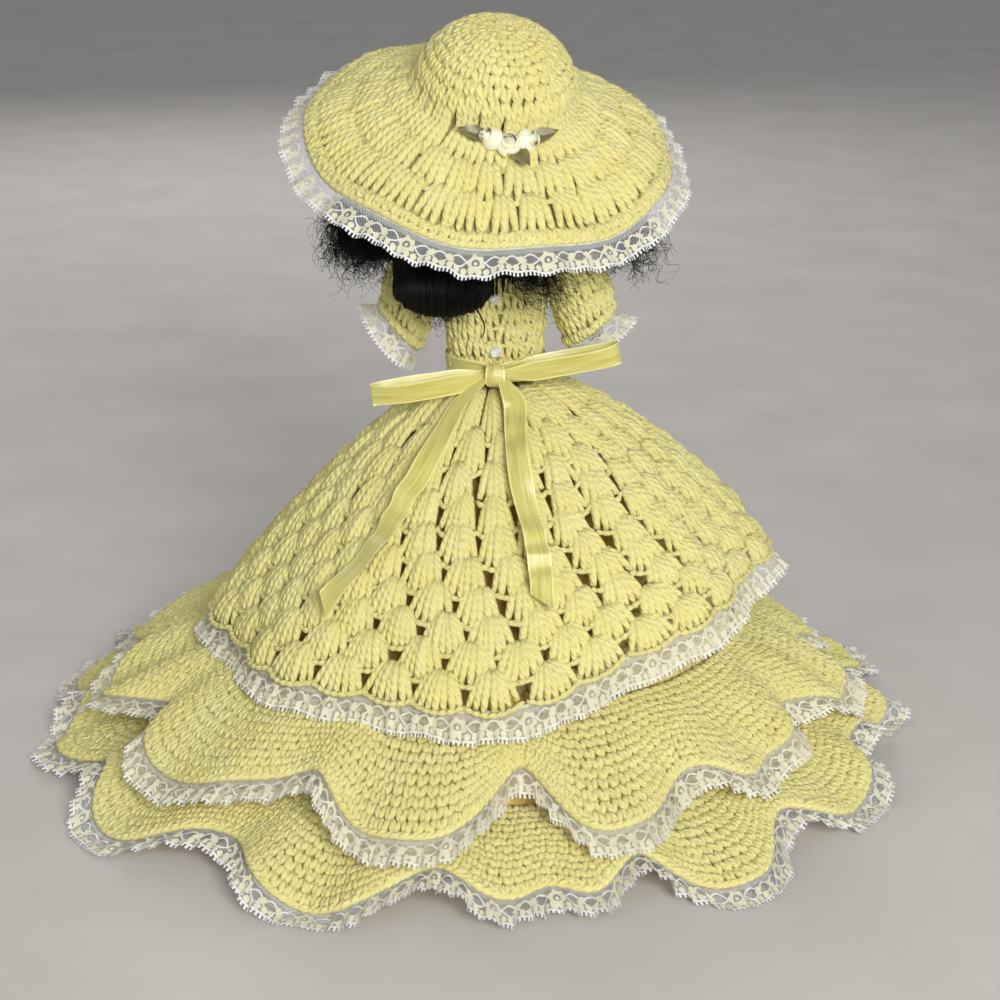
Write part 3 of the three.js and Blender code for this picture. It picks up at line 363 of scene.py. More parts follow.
def hat_surface(angle, share):
    r = np.abs(share) * BRIM_RADIUS
    inner = 29 * np.maximum(1 - np.minimum(r / CROWN_RADIUS, 1) ** 2.6, 0) ** 0.55
    wave = smooth(r, CROWN_RADIUS + 12, BRIM_RADIUS) * brim_wave(angle)
    z = np.where(r > CROWN_RADIUS, brim_fall(r), inner) + wave
    return on_hat(polar(r, angle, z))


# Sleeves: side is 1 for the doll's left arm and -1 for its right
def sleeve_surface(side):
    start = np.array([side * 23, 0, 226.0])
    bend = np.array([side * 35.7, 0, 218.0])
    end = np.array([side * 42.1, 0, 191.2])
    cuff_lean = math.radians(40 if side > 0 else 52)

    def surface(angle, share):
        t = np.clip(share, 0, 1)[..., None]
        lean = cuff_lean * np.minimum(share * 1.2, 1)
        zero = np.zeros_like(lean)
        centre = (1 - t) ** 2 * start + 2 * t * (1 - t) * bend + t ** 2 * end
        beyond = np.maximum(share - 1, 0)[..., None] * LACE_WIDTH
        centre = centre + beyond * stack(side * np.cos(lean), zero, -np.sin(lean))
        swell = np.sin(np.clip(share / 0.55, 0, 1) * np.pi / 2)
        puff = np.where(share < 0.55, mix(SLEEVE_TOP, SLEEVE_PUFF, swell),
                        mix(SLEEVE_PUFF, SLEEVE_CUFF, smooth(share, 0.55, 1)))
        radius = (puff + np.maximum(share - 1, 0) * 4.2)[..., None]
        up = stack(side * np.sin(lean), zero, np.cos(lean))
        across = np.array([0, 1.0, 0]) * -side
        return centre + radius * (np.cos(angle)[..., None] * across + np.sin(angle)[..., None] * up)
    return surface


# Node materials
def shader(name):
    material = bpy.data.materials.new(name)
    material.use_nodes = True
    tree = material.node_tree
    return material, tree, tree.nodes["Principled BSDF"]


def feed(made, inputs):
    for key, value in inputs.items():
        if isinstance(value, bpy.types.NodeSocket):
            made.id_data.links.new(value, made.inputs[key])
        else:
            made.inputs[key].default_value = value
    return made


def node(tree, kind, inputs, **settings):
    made = tree.nodes.new(kind)
    for key, value in settings.items():
        setattr(made, key, value)
    return feed(made, inputs)


def bump(tree, strength, distance, height):
    inputs = {"Strength": strength, "Distance": distance, "Height": height}
    return node(tree, "ShaderNodeBump", inputs).outputs[0]


def blend(tree, share, a, b):
    return node(tree, "ShaderNodeMix", {0: share, 6: a, 7: b}, data_type="RGBA").outputs[2]


def rgb(code):
    parts = [int(code[i:i + 2], 16) / 255 for i in (0, 2, 4)]
    linear = [c / 12.92 if c <= 0.04045 else ((c + 0.055) / 1.055) ** 2.4 for c in parts]
    return (*linear, 1.0)


# Colours along a wire's value: stops are pairs of a position and a colour
def ramp(wire, *stops):
    made = node(wire.tree, "ShaderNodeValToRGB", {"Fac": wire.socket})
    elements = made.color_ramp.elements
    for element, (position, colour) in zip(elements, (stops[0], stops[-1])):
        element.position, element.color = position, rgb(colour)
    for position, colour in stops[1:-1]:
        elements.new(position).color = rgb(colour)
    return made.outputs[0]


def uv_place(tree):
    return node(tree, "ShaderNodeTexCoord", {}).outputs["UV"]


def noise(tree, scale, detail=3.0, place=None):
    place = place or node(tree, "ShaderNodeTexCoord", {}).outputs["Object"]
    made = node(tree, "ShaderNodeTexNoise", {"Vector": place, "Scale": scale, "Detail": detail})
    return Wire(tree, made.outputs["Fac"])


# Noise drawn out along a strand or strip
def streaked(tree, stretch, scale, detail):
    place = node(tree, "ShaderNodeMapping", {"Vector": uv_place(tree), "Scale": (*stretch, 1.0)}).outputs[0]
    return noise(tree, scale, detail, place)


# Node sockets that arithmetic can be written with
class Wire:
    def __init__(self, tree, socket):
        self.tree = tree
        self.socket = socket

    def apply(self, operation, other=0.0):
        other = other.socket if isinstance(other, Wire) else other
        made = node(self.tree, "ShaderNodeMath", {0: self.socket, 1: other}, operation=operation)
        return Wire(self.tree, made.outputs[0])

    def __add__(self, other):
        return self.apply("ADD", other)

    def __sub__(self, other):
        return self.apply("SUBTRACT", other)

    def __mul__(self, other):
        return self.apply("MULTIPLY", other)

    def __truediv__(self, other):
        return self.apply("DIVIDE", other)

    def sine(self):
        return self.apply("SINE")

    def cosine(self):
        return self.apply("COSINE")

    def repeat(self, period):
        return self.apply("FLOORED_MODULO", period) - period / 2

    def distance(self, other):
        return (self * self + other * other).apply("SQRT")

    def size(self):
        return self.apply("ABSOLUTE")

    def within(self, width):
        return self.size().below(width)

    def below(self, limit):
        return self.apply("LESS_THAN", limit)

    def above(self, limit):
        return self.apply("GREATER_THAN", limit)

    def either(self, other):
        return self.apply("MAXIMUM", other)


def uv_wires(tree):
    parts = node(tree, "ShaderNodeSeparateXYZ", {0: uv_place(tree)}).outputs
    return Wire(tree, parts[0]), Wire(tree, parts[1])


# Soft three-ply acrylic yarn: twist along the strand, stray fibres and uneven dye
def yarn_material(name, pale, deep):
    material, tree, surface = shader(name)
    along, across = uv_wires(tree)
    ply = ((along / 3.4 + across * 3.0) * TURN).sine()
    fibres = streaked(tree, (0.9, 9.0), 3.0, 5.0)
    stray = noise(tree, 2600.0, 4.0)
    tone = ply * 0.06 + 0.1 + fibres * 0.35 + noise(tree, 60.0) * 0.4 + stray * 0.4
    height = ply * 0.5 + fibres + stray * 0.8
    feed(surface, {
        "Base Color": ramp(tone, (0.45, deep), (0.85, pale)),
        "Normal": bump(tree, 0.9, 0.0006, height.socket),
        "Roughness": 0.95, "Specular IOR Level": 0.15,
        "Sheen Weight": 0.5, "Sheen Roughness": 0.6, "Sheen Tint": rgb("FFF8C8"),
    })
    return material


yarn = yarn_material("yarn_pale_yellow", "FCF5AE", "EFE27C")
# Golden copy of the yarn: painted shade for the warm depths under the stitches, on the ruffles' ground and
# the underskirt cloth
painted_depth_shade_yarn = yarn_material("yarn_painted_golden_depth_shade", "FFE08A", "F6CA5C")
# Darker copy of the yarn: painted shade for the ground between the stitches of the hat, bodice and sleeves
painted_shade_yarn = yarn_material("painted_shade_between_stitches_yarn", "D2C884", "AEA264")


# Rows of single crochet between two shares: each stitch is a V of two plump strands
def single_crochet(pile, surface, low, high, pitch=STITCH, radius=YARN_RADIUS, height=0.9, turn=None):
    rows = max(1, round(depth_of(surface, low, high) / (pitch * 0.95)))
    edges = np.linspace(low, high, rows + 1)
    step = (high - low) / rows
    t = np.linspace(0, 1, 4)
    for row in range(rows):
        middle = (edges[row] + edges[row + 1]) / 2
        count = max(5, round(ring_length(surface, middle) / pitch))
        angles, _ = even_angles(surface, middle, count, 0.5 * (row % 2) + 0.13 * row)
        wide = np.gradient(np.unwrap(angles)) / 2
        if turn is not None:
            keep = turn(angles)
            angles, wide = angles[keep], wide[keep]
        for hand in (-1, 1):
            shape = (len(angles), 1)
            sway = jitter(0.12, shape)
            angle = angles[:, None] + hand * wide[:, None] * (0.16 + 0.62 * t + sway)
            share = middle + step * (0.62 - 1.2 * t + jitter(0.08, shape))
            rise = height * (0.25 + 0.95 * np.sin(np.pi * t)) + jitter(0.25, shape)
            centres, normals = raised(surface, angle, share, rise)
            fat = radius * (0.72 + 0.36 * np.sin(np.pi * t)) * (1 + jitter(0.1, shape))
            tubes(pile, centres, normals, np.broadcast_to(fat, angle.shape))


# Rows of shells: plump posts fan out downwards from one place, over the chained edge of the row before
def shells(pile, surface, edges, widths, posts, gather=0.36, radius=1.9, scallop=0.3, height=1.0, dome=1.3,
           start=0.0, keep=None):
    t = np.linspace(0, 1, 7)
    side = np.linspace(-1, 1, posts)[None, :, None]
    for row in range(len(edges) - 1):
        low, step = edges[row], edges[row + 1] - edges[row]
        middle = low + step * 0.6
        count = max(4, round(ring_length(surface, middle) / widths[row]))
        angles, _ = even_angles(surface, middle, count, 0.5 * (row % 2) + start)
        half = np.gradient(np.unwrap(angles)) / 2
        angles = angles + half * jitter(0.16, count)
        shape = (count, posts, 1)
        fan = mix(side * gather + jitter(0.12, (count, 1, 1)), side * 0.88, t ** 0.95) + jitter(0.06, shape)
        angle = angles[:, None, None] + half[:, None, None] * fan
        drop = 1 + scallop * (1 - side ** 2) + jitter(0.04, shape)
        share = low + step * (mix(-0.2, drop, t) + jitter(0.07, (count, 1, 1)))
        bulge = np.sin(np.pi * np.clip(0.12 + 0.86 * t, 0, 1)) ** 0.8
        rise = height * (1.15 * bulge - 0.1) + dome * (1 - side ** 2) * bulge + jitter(0.35, shape)
        swell = np.sin(np.pi * np.clip(0.08 + 0.86 * t ** 0.8, 0, 1))
        fat = radius * (0.55 + 0.5 * swell) * (1 + jitter(0.1, shape))
        whole = (count, posts, len(t))
        strands = [np.broadcast_to(x, whole).reshape(-1, len(t)) for x in (angle, share, rise, fat)]
        lay(pile, surface, *strands, keep)
        k = np.linspace(-1.04, 1.04, 3 * posts + 1)
        bead = np.cos(TURN * k * posts / 2)
        share = low + step * (1.03 + scallop * (1 - k ** 2))
        rise = height * (0.5 + 0.35 * bead) + 0.7 * dome * (1 - k ** 2)
        whole = (count, len(k))
        strands = [np.broadcast_to(x, whole) for x in (share, rise, radius * (0.62 + 0.14 * bead))]
        lay(pile, surface, angles[:, None] + half[:, None] * k, *strands, keep)


# Strands laid on a surface, without those whose middle the keep test refuses
def lay(pile, surface, angle, share, rise, fat, keep=None):
    centres, normals = raised(surface, angle, share, rise)
    if keep is not None:
        kept = keep(centres[:, centres.shape[1] // 2])
        centres, normals, fat = centres[kept], normals[kept], fat[kept]
    tubes(pile, centres, normals, fat)


# A plump chained cord round a hem
def hem_cord(pile, surface, share, radius, height, pitch=STITCH):
    count = round(ring_length(surface, share) / pitch)
    angles, _ = even_angles(surface, share, count + 1)
    angles[-1] = TURN
    steps = np.linspace(0, count, count * 3 + 1)
    angle = np.interp(steps, np.arange(count + 1), np.unwrap(angles))
    bead = np.cos(TURN * steps)
    fat = radius * (1 + 0.16 * bead) + jitter(0.08, steps.shape)
    lay(pile, surface, angle[None], np.full((1, len(angle)), share), (height + 0.25 * bead)[None], fat[None])


# Stray fibres that stand off the yarn of a pile
def fuzz(pile, name, count):
    skins = np.concatenate(pile.skins)
    skins = skins[rng.integers(0, len(skins), count)]
    root, way = skins[:, 0], skins[:, 1]
    lean = unit(way + 1.3 * rng.normal(0, 1, way.shape))
    reach = rng.uniform(0.9, 2.6, (count, 1, 1))
    t = np.linspace(0, 1, 4)[:, None]
    centres = root[:, None] - 0.2 * way[:, None] + reach * (t * mix(way[:, None], lean[:, None], t))
    centres[..., 2] = np.maximum(centres[..., 2], 0.2)
    normals = np.broadcast_to(unit(np.cross(way, lean) + 1e-6)[:, None], centres.shape)
    fibres = Pile()
    tubes(fibres, centres, normals, np.broadcast_to(0.07 - 0.04 * t[:, 0], centres.shape[:2]), 3)
    return fibres.make(name, yarn)


# Overskirt in shell stitch, ten rows that widen towards the hem
def make_overskirt():
    pile = Pile()
    rows = 10
    edges = mix(0.02, HEM, np.linspace(0, 1, rows + 1) ** 0.9)
    for row in range(rows):
        width = mix(12, 23, row / (rows - 1))
        posts = 5 + (row > 2) + (row > 6)
        start = 0.2 + 0.5 * (row % 2) + 0.07 * row
        shells(pile, overskirt_surface, edges[row:row + 2], [width], posts, start=start)
    return pile.make("overskirt_shells", yarn), fuzz(pile, "overskirt_fuzz", 15000)


# Thin ground sunk a little below the stitches worked on a surface
def make_ground(name, surface, sunk, sides, shares, wall, material):
    def below(angle, share):
        return raised(surface, angle, share, np.full_like(angle, -sunk))[0]
    pile = Pile()
    cloth(pile, below, around(sides), shares, wall)
    return pile.make(name, material)


# Ruffles in single crochet on a thin ground of yarn coloured golden as painted shade of the depths
def make_tier(name, surface, low, sides):
    pile = Pile()
    single_crochet(pile, surface, low, 0.975)
    hem_cord(pile, surface, HEM, 1.75, 0.2)
    fibres = fuzz(pile, name + "_fuzz", 12000)
    ground = make_ground(name + "_ground", surface, 0.4, sides, np.linspace(0.02, HEM, 26), 1.2, painted_depth_shade_yarn)
    return pile.make(name + "_stitches", yarn), fibres, ground


overskirt = make_overskirt()
middle = make_tier("middle_ruffle", middle_tier, 0.05, 480)
lower = make_tier("lower_ruffle", lower_tier, 0.07, 560)


# Underskirt, seen through the holes with its cloth coloured golden as painted shade of the depths, and
# stitched where the raised side of the overskirt leaves it bare
def make_underskirt():
    pile = Pile()
    cloth(pile, underskirt_surface, around(180), np.linspace(0.0, 0.992, 40), 2.0)
    bare = Pile()
    single_crochet(bare, underskirt_surface, 0.42, 0.67, turn=lambda angles: np.cos(angles) < -0.1)
    return bare.make("underskirt_stitches", yarn), pile.make("underskirt_cloth", painted_depth_shade_yarn)


underskirt = make_underskirt()


# Hat: crown in rounds of single crochet, brim in three rings of posts and a firm edge
def make_hat():
    pile = Pile()
    crown = CROWN_RADIUS / BRIM_RADIUS
    single_crochet(pile, hat_surface, 0.012, crown * 0.985, pitch=4.9, radius=1.6)
    edges = np.linspace(crown * 1.02, 0.93, 4)
    shells(pile, hat_surface, edges, [12.5, 13.5, 14.5], 4, gather=0.56, radius=2.0, scallop=0.1, height=1.1,
           dome=0.7, start=0.1)
    single_crochet(pile, hat_surface, 0.925, 0.98, pitch=4.4)
    hem_cord(pile, hat_surface, HEM, 1.6, 0.2, 4.4)
    shares = np.concatenate([np.linspace(0.02, crown * 0.98, 14), np.linspace(crown, HEM, 14)])
    # The ground takes the darker yarn, painted shade between the stitches
    ground = make_ground("hat_ground", hat_surface, 1.2, 120, shares, 1.0, painted_shade_yarn)
    return pile.make("hat_stitches", yarn), fuzz(pile, "hat_fuzz", 8000), ground


hat = make_hat()


# Lace: net, flowers and leaves between waving cords, beads and a toothed edge. UVs are in millimetres
def lace_material(name, thread, motif, mesh):
    material, tree, surface = shader(name)
    x, y = uv_wires(tree)
    once = x * (TURN / LACE_REPEAT)
    close = y.below(3.2) * 0.2 + mesh
    net = ((x + y * 0.8) * (math.pi / 0.9)).sine().within(close)
    net = net.either(((x - y * 0.8) * (math.pi / 0.9)).sine().within(close))
    flower_x, flower_y = x.repeat(LACE_REPEAT), y - 6.6
    reach = flower_x.distance(flower_y)
    turn = flower_y.apply("ARCTAN2", flower_x)
    petals = (reach - (turn * 6.0).sine() * 0.6).below(3.5) * (reach - 1.25).size().above(0.45)
    leaf_x = (x + LACE_REPEAT / 2).repeat(LACE_REPEAT).size() - 4.0
    leaf = (leaf_x.size() * 0.75 + (y - 5.6 - leaf_x * 0.3).size()).below(1.9)
    dip = once.cosine() * -0.8
    beads = x.repeat(3.1).distance(y - dip - 9.2).below(1.3)
    sway = (once * 2.0).cosine() * 2.2
    cords = (y - 6.0 - sway).within(0.4).either((y - 6.0 + sway).within(0.4))
    past_edge = y - dip - 10.9
    inside = past_edge.below(0.0)
    flowers = petals.either(leaf).either(beads) * inside
    border = past_edge.within(0.45).either(y.below(1.1))
    teeth = (x * (TURN / 1.6)).sine().above(-0.1) * (past_edge - 1.0).within(1.0)
    solid = flowers.either(border).either(teeth).either(cords * inside)
    threads = (x * 14.0 + y * 9.0).sine() * 0.4 + solid
    tone = flowers * 0.55 + noise(tree, 1400.0) * 0.5
    feed(surface, {
        "Alpha": solid.either(net * inside).socket,
        "Base Color": ramp(tone, (0.15, thread), (0.75, motif)),
        "Normal": bump(tree, 0.8, 0.0003, threads.socket),
        "Roughness": 0.8, "Sheen Weight": 0.2, "Specular IOR Level": 0.25,
    })
    return material


white_lace = lace_material("lace_white", "FBFBFC", "F4F0CE", 0.22)
cream_lace = lace_material("lace_cream", "FBF8EC", "F6EFCF", 0.3)


# One gathered strip of lace with UVs in millimetres of its flat length and width
def lace_strip(name, surface, sides, material):
    shares = np.linspace(0, 1, 10)
    points = surface(*np.meshgrid(around(sides), shares))
    length = run(points[5], True)
    length *= LACE_REPEAT * round(length[-1] / LACE_REPEAT) / length[-1]
    pile = Pile()
    pile.sheet(points, length, shares * LACE_WIDTH)
    return pile.make(name, material), length[-1]


# Gathers: uneven waves that grow towards the free edge
def gathers(angle, share, waves, depth):
    swing = np.sin(waves * angle + 1.7 * np.sin(5 * angle)) * 0.65
    swing = swing + np.sin((waves * 3 // 7) * angle + 2) * 0.5
    return depth * share ** 1.2 * (swing + 0.3 * np.sin(11 * angle))


def hem_lace_surface(hem, waves, depth, lowest):
    def surface(angle, share):
        edge = hem(angle, np.ones_like(angle))
        along = unit(edge - hem(angle, np.full_like(angle, 0.97)))
        point = edge + along * (LACE_WIDTH * (share * 1.1 - 0.12))[..., None]
        swing = gathers(angle, share, waves, depth)
        sideways = unit(np.cross(along, np.array([0, 0, 1.0])))
        point = point + sideways * (0.8 * gathers(angle + 0.4, share, waves, depth))[..., None]
        out = np.cross(sideways, along)
        point = point + out * swing[..., None]
        floor = lowest + 0.35 * np.maximum(swing + depth, 0)
        z = point[..., 2]
        point[..., 2] = np.where(share > 0.1, np.maximum(z - share - 0.6, floor), z - 0.9)
        return point
    return surface


def hat_lace_surface(angle, share):
    out = 13.5 * share - 1.0
    swing = gathers(angle, np.maximum(share, 0), 52, 1.7)
    r = BRIM_RADIUS + 0.85 * out + 0.4 * swing
    z = -BRIM_DROP - 0.53 * out + brim_wave(angle) + swing - 0.8
    return on_hat(polar(r, angle, z))


def cuff_lace_surface(side):
    sleeve = sleeve_surface(side)

    def surface(angle, share):
        point, normal = raised(sleeve, angle, 0.98 + 0.85 * share, gathers(angle, share, 13, 1.3))
        return point + normal * (share * 3.0)[..., None]
    return surface


over_hem = hem_lace_surface(overskirt_surface, 131, 1.5, 1)
middle_hem = hem_lace_surface(middle_tier, 173, 1.8, 1)
lower_hem = hem_lace_surface(lower_tier, 197, 2.0, 0.5)
hat_lace = lace_strip("hat_lace_strip", hat_lace_surface, 620, white_lace)
over_lace = lace_strip("overskirt_lace_strip", over_hem, 1500, cream_lace)
middle_lace = lace_strip("middle_lace_strip", middle_hem, 1800, cream_lace)
lower_lace = lace_strip("lower_lace_strip", lower_hem, 2100, white_lace)
cuff_lace = [
    lace_strip("cuff_lace_" + name, cuff_lace_surface(side), 150, white_lace)
    for name, side in SIDES
]


# Bodice in small shells, left out at the armholes
def bodice_surface(angle, share):
    return round_torso(angle, mix(BODICE_TOP, BODICE_BASE, share), 3.0)


def clear_of_armholes(points):
    return ~((np.abs(points[:, 0]) > 19.5) & (points[:, 2] > 207))


def make_bodice():
    pile = Pile()
    edges = np.linspace(0.03, 0.95, 9)
    shells(pile, bodice_surface, edges, [SMALL_SHELL] * 8, 3, gather=0.4, radius=1.55, scallop=0.12,
           height=0.6, dome=0.4, start=0.25, keep=clear_of_armholes)
    shares = np.linspace(0.02, 0.97, 20)
    # The ground takes the darker yarn, painted shade between the stitches
    ground = make_ground("bodice_ground", bodice_surface, 1.2, 64, shares, 1.0, painted_shade_yarn)
    return pile.make("bodice_stitches", yarn), fuzz(pile, "bodice_fuzz", 2500), ground


def make_sleeve(name, side):
    surface = sleeve_surface(side)
    pile = Pile()
    edges = np.linspace(0.04, 0.93, 6)
    shells(pile, surface, edges, [SMALL_SHELL] * 5, 3, gather=0.4, radius=1.5, scallop=0.12, height=0.5,
           dome=0.4, start=0.1)
    single_crochet(pile, surface, 0.93, 1.0, pitch=4.0)
    shares = np.linspace(0.02, 0.99, 16)
    # The ground takes the darker yarn, painted shade between the stitches
    ground = make_ground("sleeve_ground_" + name, surface, 0.9, 48, shares, 0.8, painted_shade_yarn)
    return pile.make("sleeve_stitches_" + name, yarn), fuzz(pile, "sleeve_fuzz_" + name, 1600), ground


bodice = make_bodice()
sleeves = [make_sleeve(name, side) for name, side in SIDES]


# Satin ribbon: fine weft lines, broad streaks of painted highlight and painted fold shade, and a firm
# selvedge. UVs are in millimetres
def satin_material(name, pale, deep):
    material, tree, surface = shader(name)
    x, y = uv_wires(tree)
    streaks = streaked(tree, (0.05, 0.9), 1.0, 3.0)
    weft = (x * (TURN / 0.35)).sine() * 0.5 + (y * (TURN / 0.5)).sine() * 0.25
    selvedge = (y - RIBBON_WIDTH / 2).size().above(RIBBON_WIDTH / 2 - 0.7)
    # The streaks also raise bumps and set roughness; in the colour they are painted highlight towards the
    # pale end and painted fold shade towards the deep end
    tone = streaks * 0.6 + weft * 0.05 + selvedge * 0.3 + 0.15
    height = weft * 0.3 + selvedge * 1.2 + streaks * 0.7
    feed(surface, {
        "Base Color": ramp(tone, (0.25, deep), (0.75, pale)),
        "Normal": bump(tree, 0.35, 0.0003, height.socket),
        "Roughness": (streaks * 0.12 + 0.16).socket,
        "Anisotropic": 0.5, "Specular IOR Level": 0.8, "Sheen Weight": 0.25,
    })
    return material


yellow_satin = satin_material("satin_yellow", "F1EC9A", "B9AD45")
cream_satin = satin_material("satin_cream", "FCF8E4", "EBE4BC")
olive_satin = satin_material("satin_olive", "8C8440", "575020")


# A ribbon along a path: across is the direction of its width, slant shears the last cut end
def ribbon_strip(name, path, across, width, cup, material, slant=0.0):
    along = unit(np.gradient(path, axis=0))
    across = unit(across)
    face = unit(np.cross(along, across))
    length = run(path)
    v = np.linspace(-0.5, 0.5, 9)
    lean = slant * smooth(length, length[-1] - 14, length[-1])
    points = path[:, None] + across[:, None] * (width[:, None] * v)[..., None]
    points = points + face[:, None] * (cup[:, None] * (1 - 4 * v ** 2))[..., None]
    points = points + along[:, None] * (lean[:, None] * v)[..., None]
    pile = Pile()
    uvs = grid_uvs((v + 0.5) * RIBBON_WIDTH, length)[..., ::-1]
    pile.add(points, grid_quads(len(path), len(v), False), uvs)
    return pile.make(name, material), length[-1]


# Sash round the waist, drawn in a little at the knot
def sash_surface(angle, share):
    near = np.exp(-((np.mod(angle - np.pi / 2 + np.pi, TURN) - np.pi) / 0.35) ** 2)
    z = SASH_HEIGHT + (0.5 - share) * RIBBON_WIDTH * (1 - 0.35 * near)
    wrinkle = 0.25 * np.sin(9 * angle + 4 * share) + 0.5 * near * np.sin(14 * share)
    return round_torso(angle, z, 5.7 + wrinkle)


KNOT = np.array([0, 22.6, SASH_HEIGHT])


def make_sash():
    pile = Pile()
    shares = np.linspace(0, 1, 13)
    points = sash_surface(*np.meshgrid(around(160), shares))
    length = run(points[5], True)
    pile.sheet(points, length, shares * RIBBON_WIDTH)
    return pile.make("sash_ribbon", yellow_satin), length[-1]


# Bow loop: out along one strand and home along the other, pinched at the knot
def make_loop(name, side, slope):
    share = np.linspace(0, 1, 61)
    out = (1 - np.cos(TURN * share)) / 2
    x = 3.4 + out * LOOP_REACH
    gap = (1 - 2 * share) * 1.6 + 4.5 * np.sin(TURN * share) * (0.4 + 0.6 * out)
    ripple = 0.9 * np.sin(23 * share + side) + 0.6 * np.sin(9 * share)
    rise = slope * x - 3 * slope ** 2 * out - 2.2 * out * (1 - out)
    path = KNOT + stack(side * x, 5.5 * out + gap + ripple * out, rise)
    twist = 0.5 * np.sin(TURN * share) * out + 0.2 * (1 - 2 * share)
    across = stack(-side * slope + 0 * share, twist, np.ones_like(share))
    width = RIBBON_WIDTH * mix(0.5, 1, smooth(out, 0, 0.3))
    cup = 1.3 * np.exp(-out * 9)
    return ribbon_strip(name, path, across, width, cup, yellow_satin)


# Tail: falls from the knot and lies down the overskirt
def make_tail(name, side, drift, length, slant):
    t = np.linspace(0, 1, 110)
    end = 0.05 + length / math.hypot(OVERSKIRT_RADIUS, OVERSKIRT_TOP - OVERSKIRT_HEM)
    share = mix(0.015, end, t)
    straight = overskirt_surface(np.full_like(t, np.pi / 2), share)[:, 1]
    x = side * (2.5 + 4.5 * smooth(t, 0, 0.12) + drift * t) + 1.3 * np.sin(7 * t + side)
    angle = np.arccos(np.clip(x / straight, -1, 1))
    ripple = 0.8 * np.sin(34 * t + 3 * np.sin(9 * t + side)) + 1.1 * np.sin(13 * t + 2 * side)
    lift = 7.8 + 2.6 * t + ripple * smooth(t, 0.05, 0.3) + 3.0 * (1 - smooth(t, 0, 0.16))
    path, normal = raised(overskirt_surface, angle, share, lift)
    path[0] = KNOT + np.array([side * 2.5, 1.0, -3.5])
    tilt = 0.35 * np.sin(9 * t + side)[:, None] * normal
    across = np.cross(normal, unit(np.gradient(path, axis=0))) + tilt
    width = RIBBON_WIDTH * mix(0.55, 1, smooth(t, 0, 0.1))
    return ribbon_strip(name, path, across, width, 0.8 * np.exp(-t * 14), yellow_satin, slant)


# Knot: a short band wrapped over the middle of the bow
def make_knot():
    angle, share = np.meshgrid(around(36), np.linspace(-1, 1, 13))
    bulge = 1 - 0.16 * share ** 2 + 0.05 * np.sin(5 * share + 2 * np.sin(angle))
    pinch = 1 - 0.12 * np.sin(angle) ** 2
    points = KNOT + stack(4.4 * share * pinch, 4.3 * bulge * np.cos(angle), 5.4 * bulge * np.sin(angle))
    pile = Pile()
    uvs = grid_uvs(np.linspace(0, KNOT_LENGTH, 37), np.linspace(0, RIBBON_WIDTH, 13))
    pile.add(points, grid_quads(13, 36, True)[..., ::-1], uvs)
    return pile.make("bow_knot_band", yellow_satin)


sash = make_sash()
loops = [make_loop("bow_loop_ribbon_left", 1, -0.14), make_loop("bow_loop_ribbon_right", -1, 0.22)]
tails = [make_tail("tail_ribbon_left", 1, 59, 117, 9), make_tail("tail_ribbon_right", -1, 12, 108, 9)]
knot = make_knot()


# Where a CAD node lies, in millimetres about the doll's axis
def middle_of(name):
    low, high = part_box(name)
    return (np.array(low) + np.array(high)) * 500 - AXIS


# The middle rosebud stands a little further out on the brim
ROSE_STEP = HAT_TURN @ np.array([0, 3.0, -0.5])


# Rosebud of rolled satin: a strip wound into a closed bud, each turn a little lower than the one inside it
def make_rosebud(name, index, hub):
    centre = mix(middle_of(name), hub, 0.25) + ROSE_STEP * (index == 2)
    turns = np.linspace(0, 1, 130)
    height = np.linspace(0, 1, 16)
    t, v = np.meshgrid(turns, height)
    phi = TURN * 3.6 * t + index * 1.9
    petal = 1 + 0.07 * np.cos(phi * 1.4)
    closed = mix(0.12, 0.55, t ** 1.5)
    egg = mix(np.sin(np.pi * np.clip(v * 0.5 + 0.14, 0, 1)), closed, smooth(v, 0.45, 1))
    r = mix(1.3, ROSE_RADIUS, t ** 0.7) * petal * egg + 0.6 * t * smooth(v, 0.86, 1)
    z = ROSE_HEIGHT * v * mix(1, 0.74, t) - 5.6 + 0.7 * np.sin(phi * 1.4) * v
    up = unit(HAT_TURN @ np.array([1.1 * (2 - index), 0.35, 0.9]))
    side = unit(np.cross(up, np.array([0, 0, 1.0])))
    ahead = np.cross(up, side)
    points = centre + side * (r * np.cos(phi))[..., None] + ahead * (r * np.sin(phi))[..., None]
    points = points + up * z[..., None]
    pile = Pile()
    pile.sheet(points, turns * 60, height * RIBBON_WIDTH, False)
    turn, rise = np.meshgrid(around(20), np.linspace(-np.pi / 2, np.pi / 2, 12))
    flat = 2.5 * np.cos(rise)[..., None]
    heart = centre + up * (3.4 * np.sin(rise) + 0.2)[..., None]
    heart = heart + flat * (side * np.cos(turn)[..., None] + ahead * np.sin(turn)[..., None])
    pile.sheet(heart, np.linspace(0, RIBBON_WIDTH, 21), np.linspace(0, RIBBON_WIDTH, 12))
    return pile.make(name + "_petals", cream_satin)


# Leaf of folded ribbon: pointed, with a middle crease
def make_leaf(name, hub):
    centre = mix(middle_of(name), hub, 0.3)
    up = HAT_TURN @ np.array([0, 0.35, 1.0])
    way = centre - hub
    way = unit(way - up * np.dot(way, up) / np.dot(up, up))
    beside = np.cross(up, way)
    t, v = np.meshgrid(np.linspace(0, 1, 18), np.linspace(-1, 1, 11))
    half = 3.6 * np.sin(np.pi * np.clip(t, 0, 1) ** 0.75) + 0.15
    lift = 1.5 * np.abs(v) + 1.8 * t ** 2 + 0.25 * np.sin(9 * t + 3 * v) + 1.6
    points = centre + way * ((t - 0.6) * LEAF_LENGTH)[..., None] + beside * (half * v)[..., None]
    points = points + up * (lift - 0.6)[..., None]
    pile = Pile()
    pile.sheet(points, np.linspace(0, RIBBON_WIDTH, 18), np.linspace(0, RIBBON_WIDTH, 11), False)
    return pile.make(name + "_satin", olive_satin)


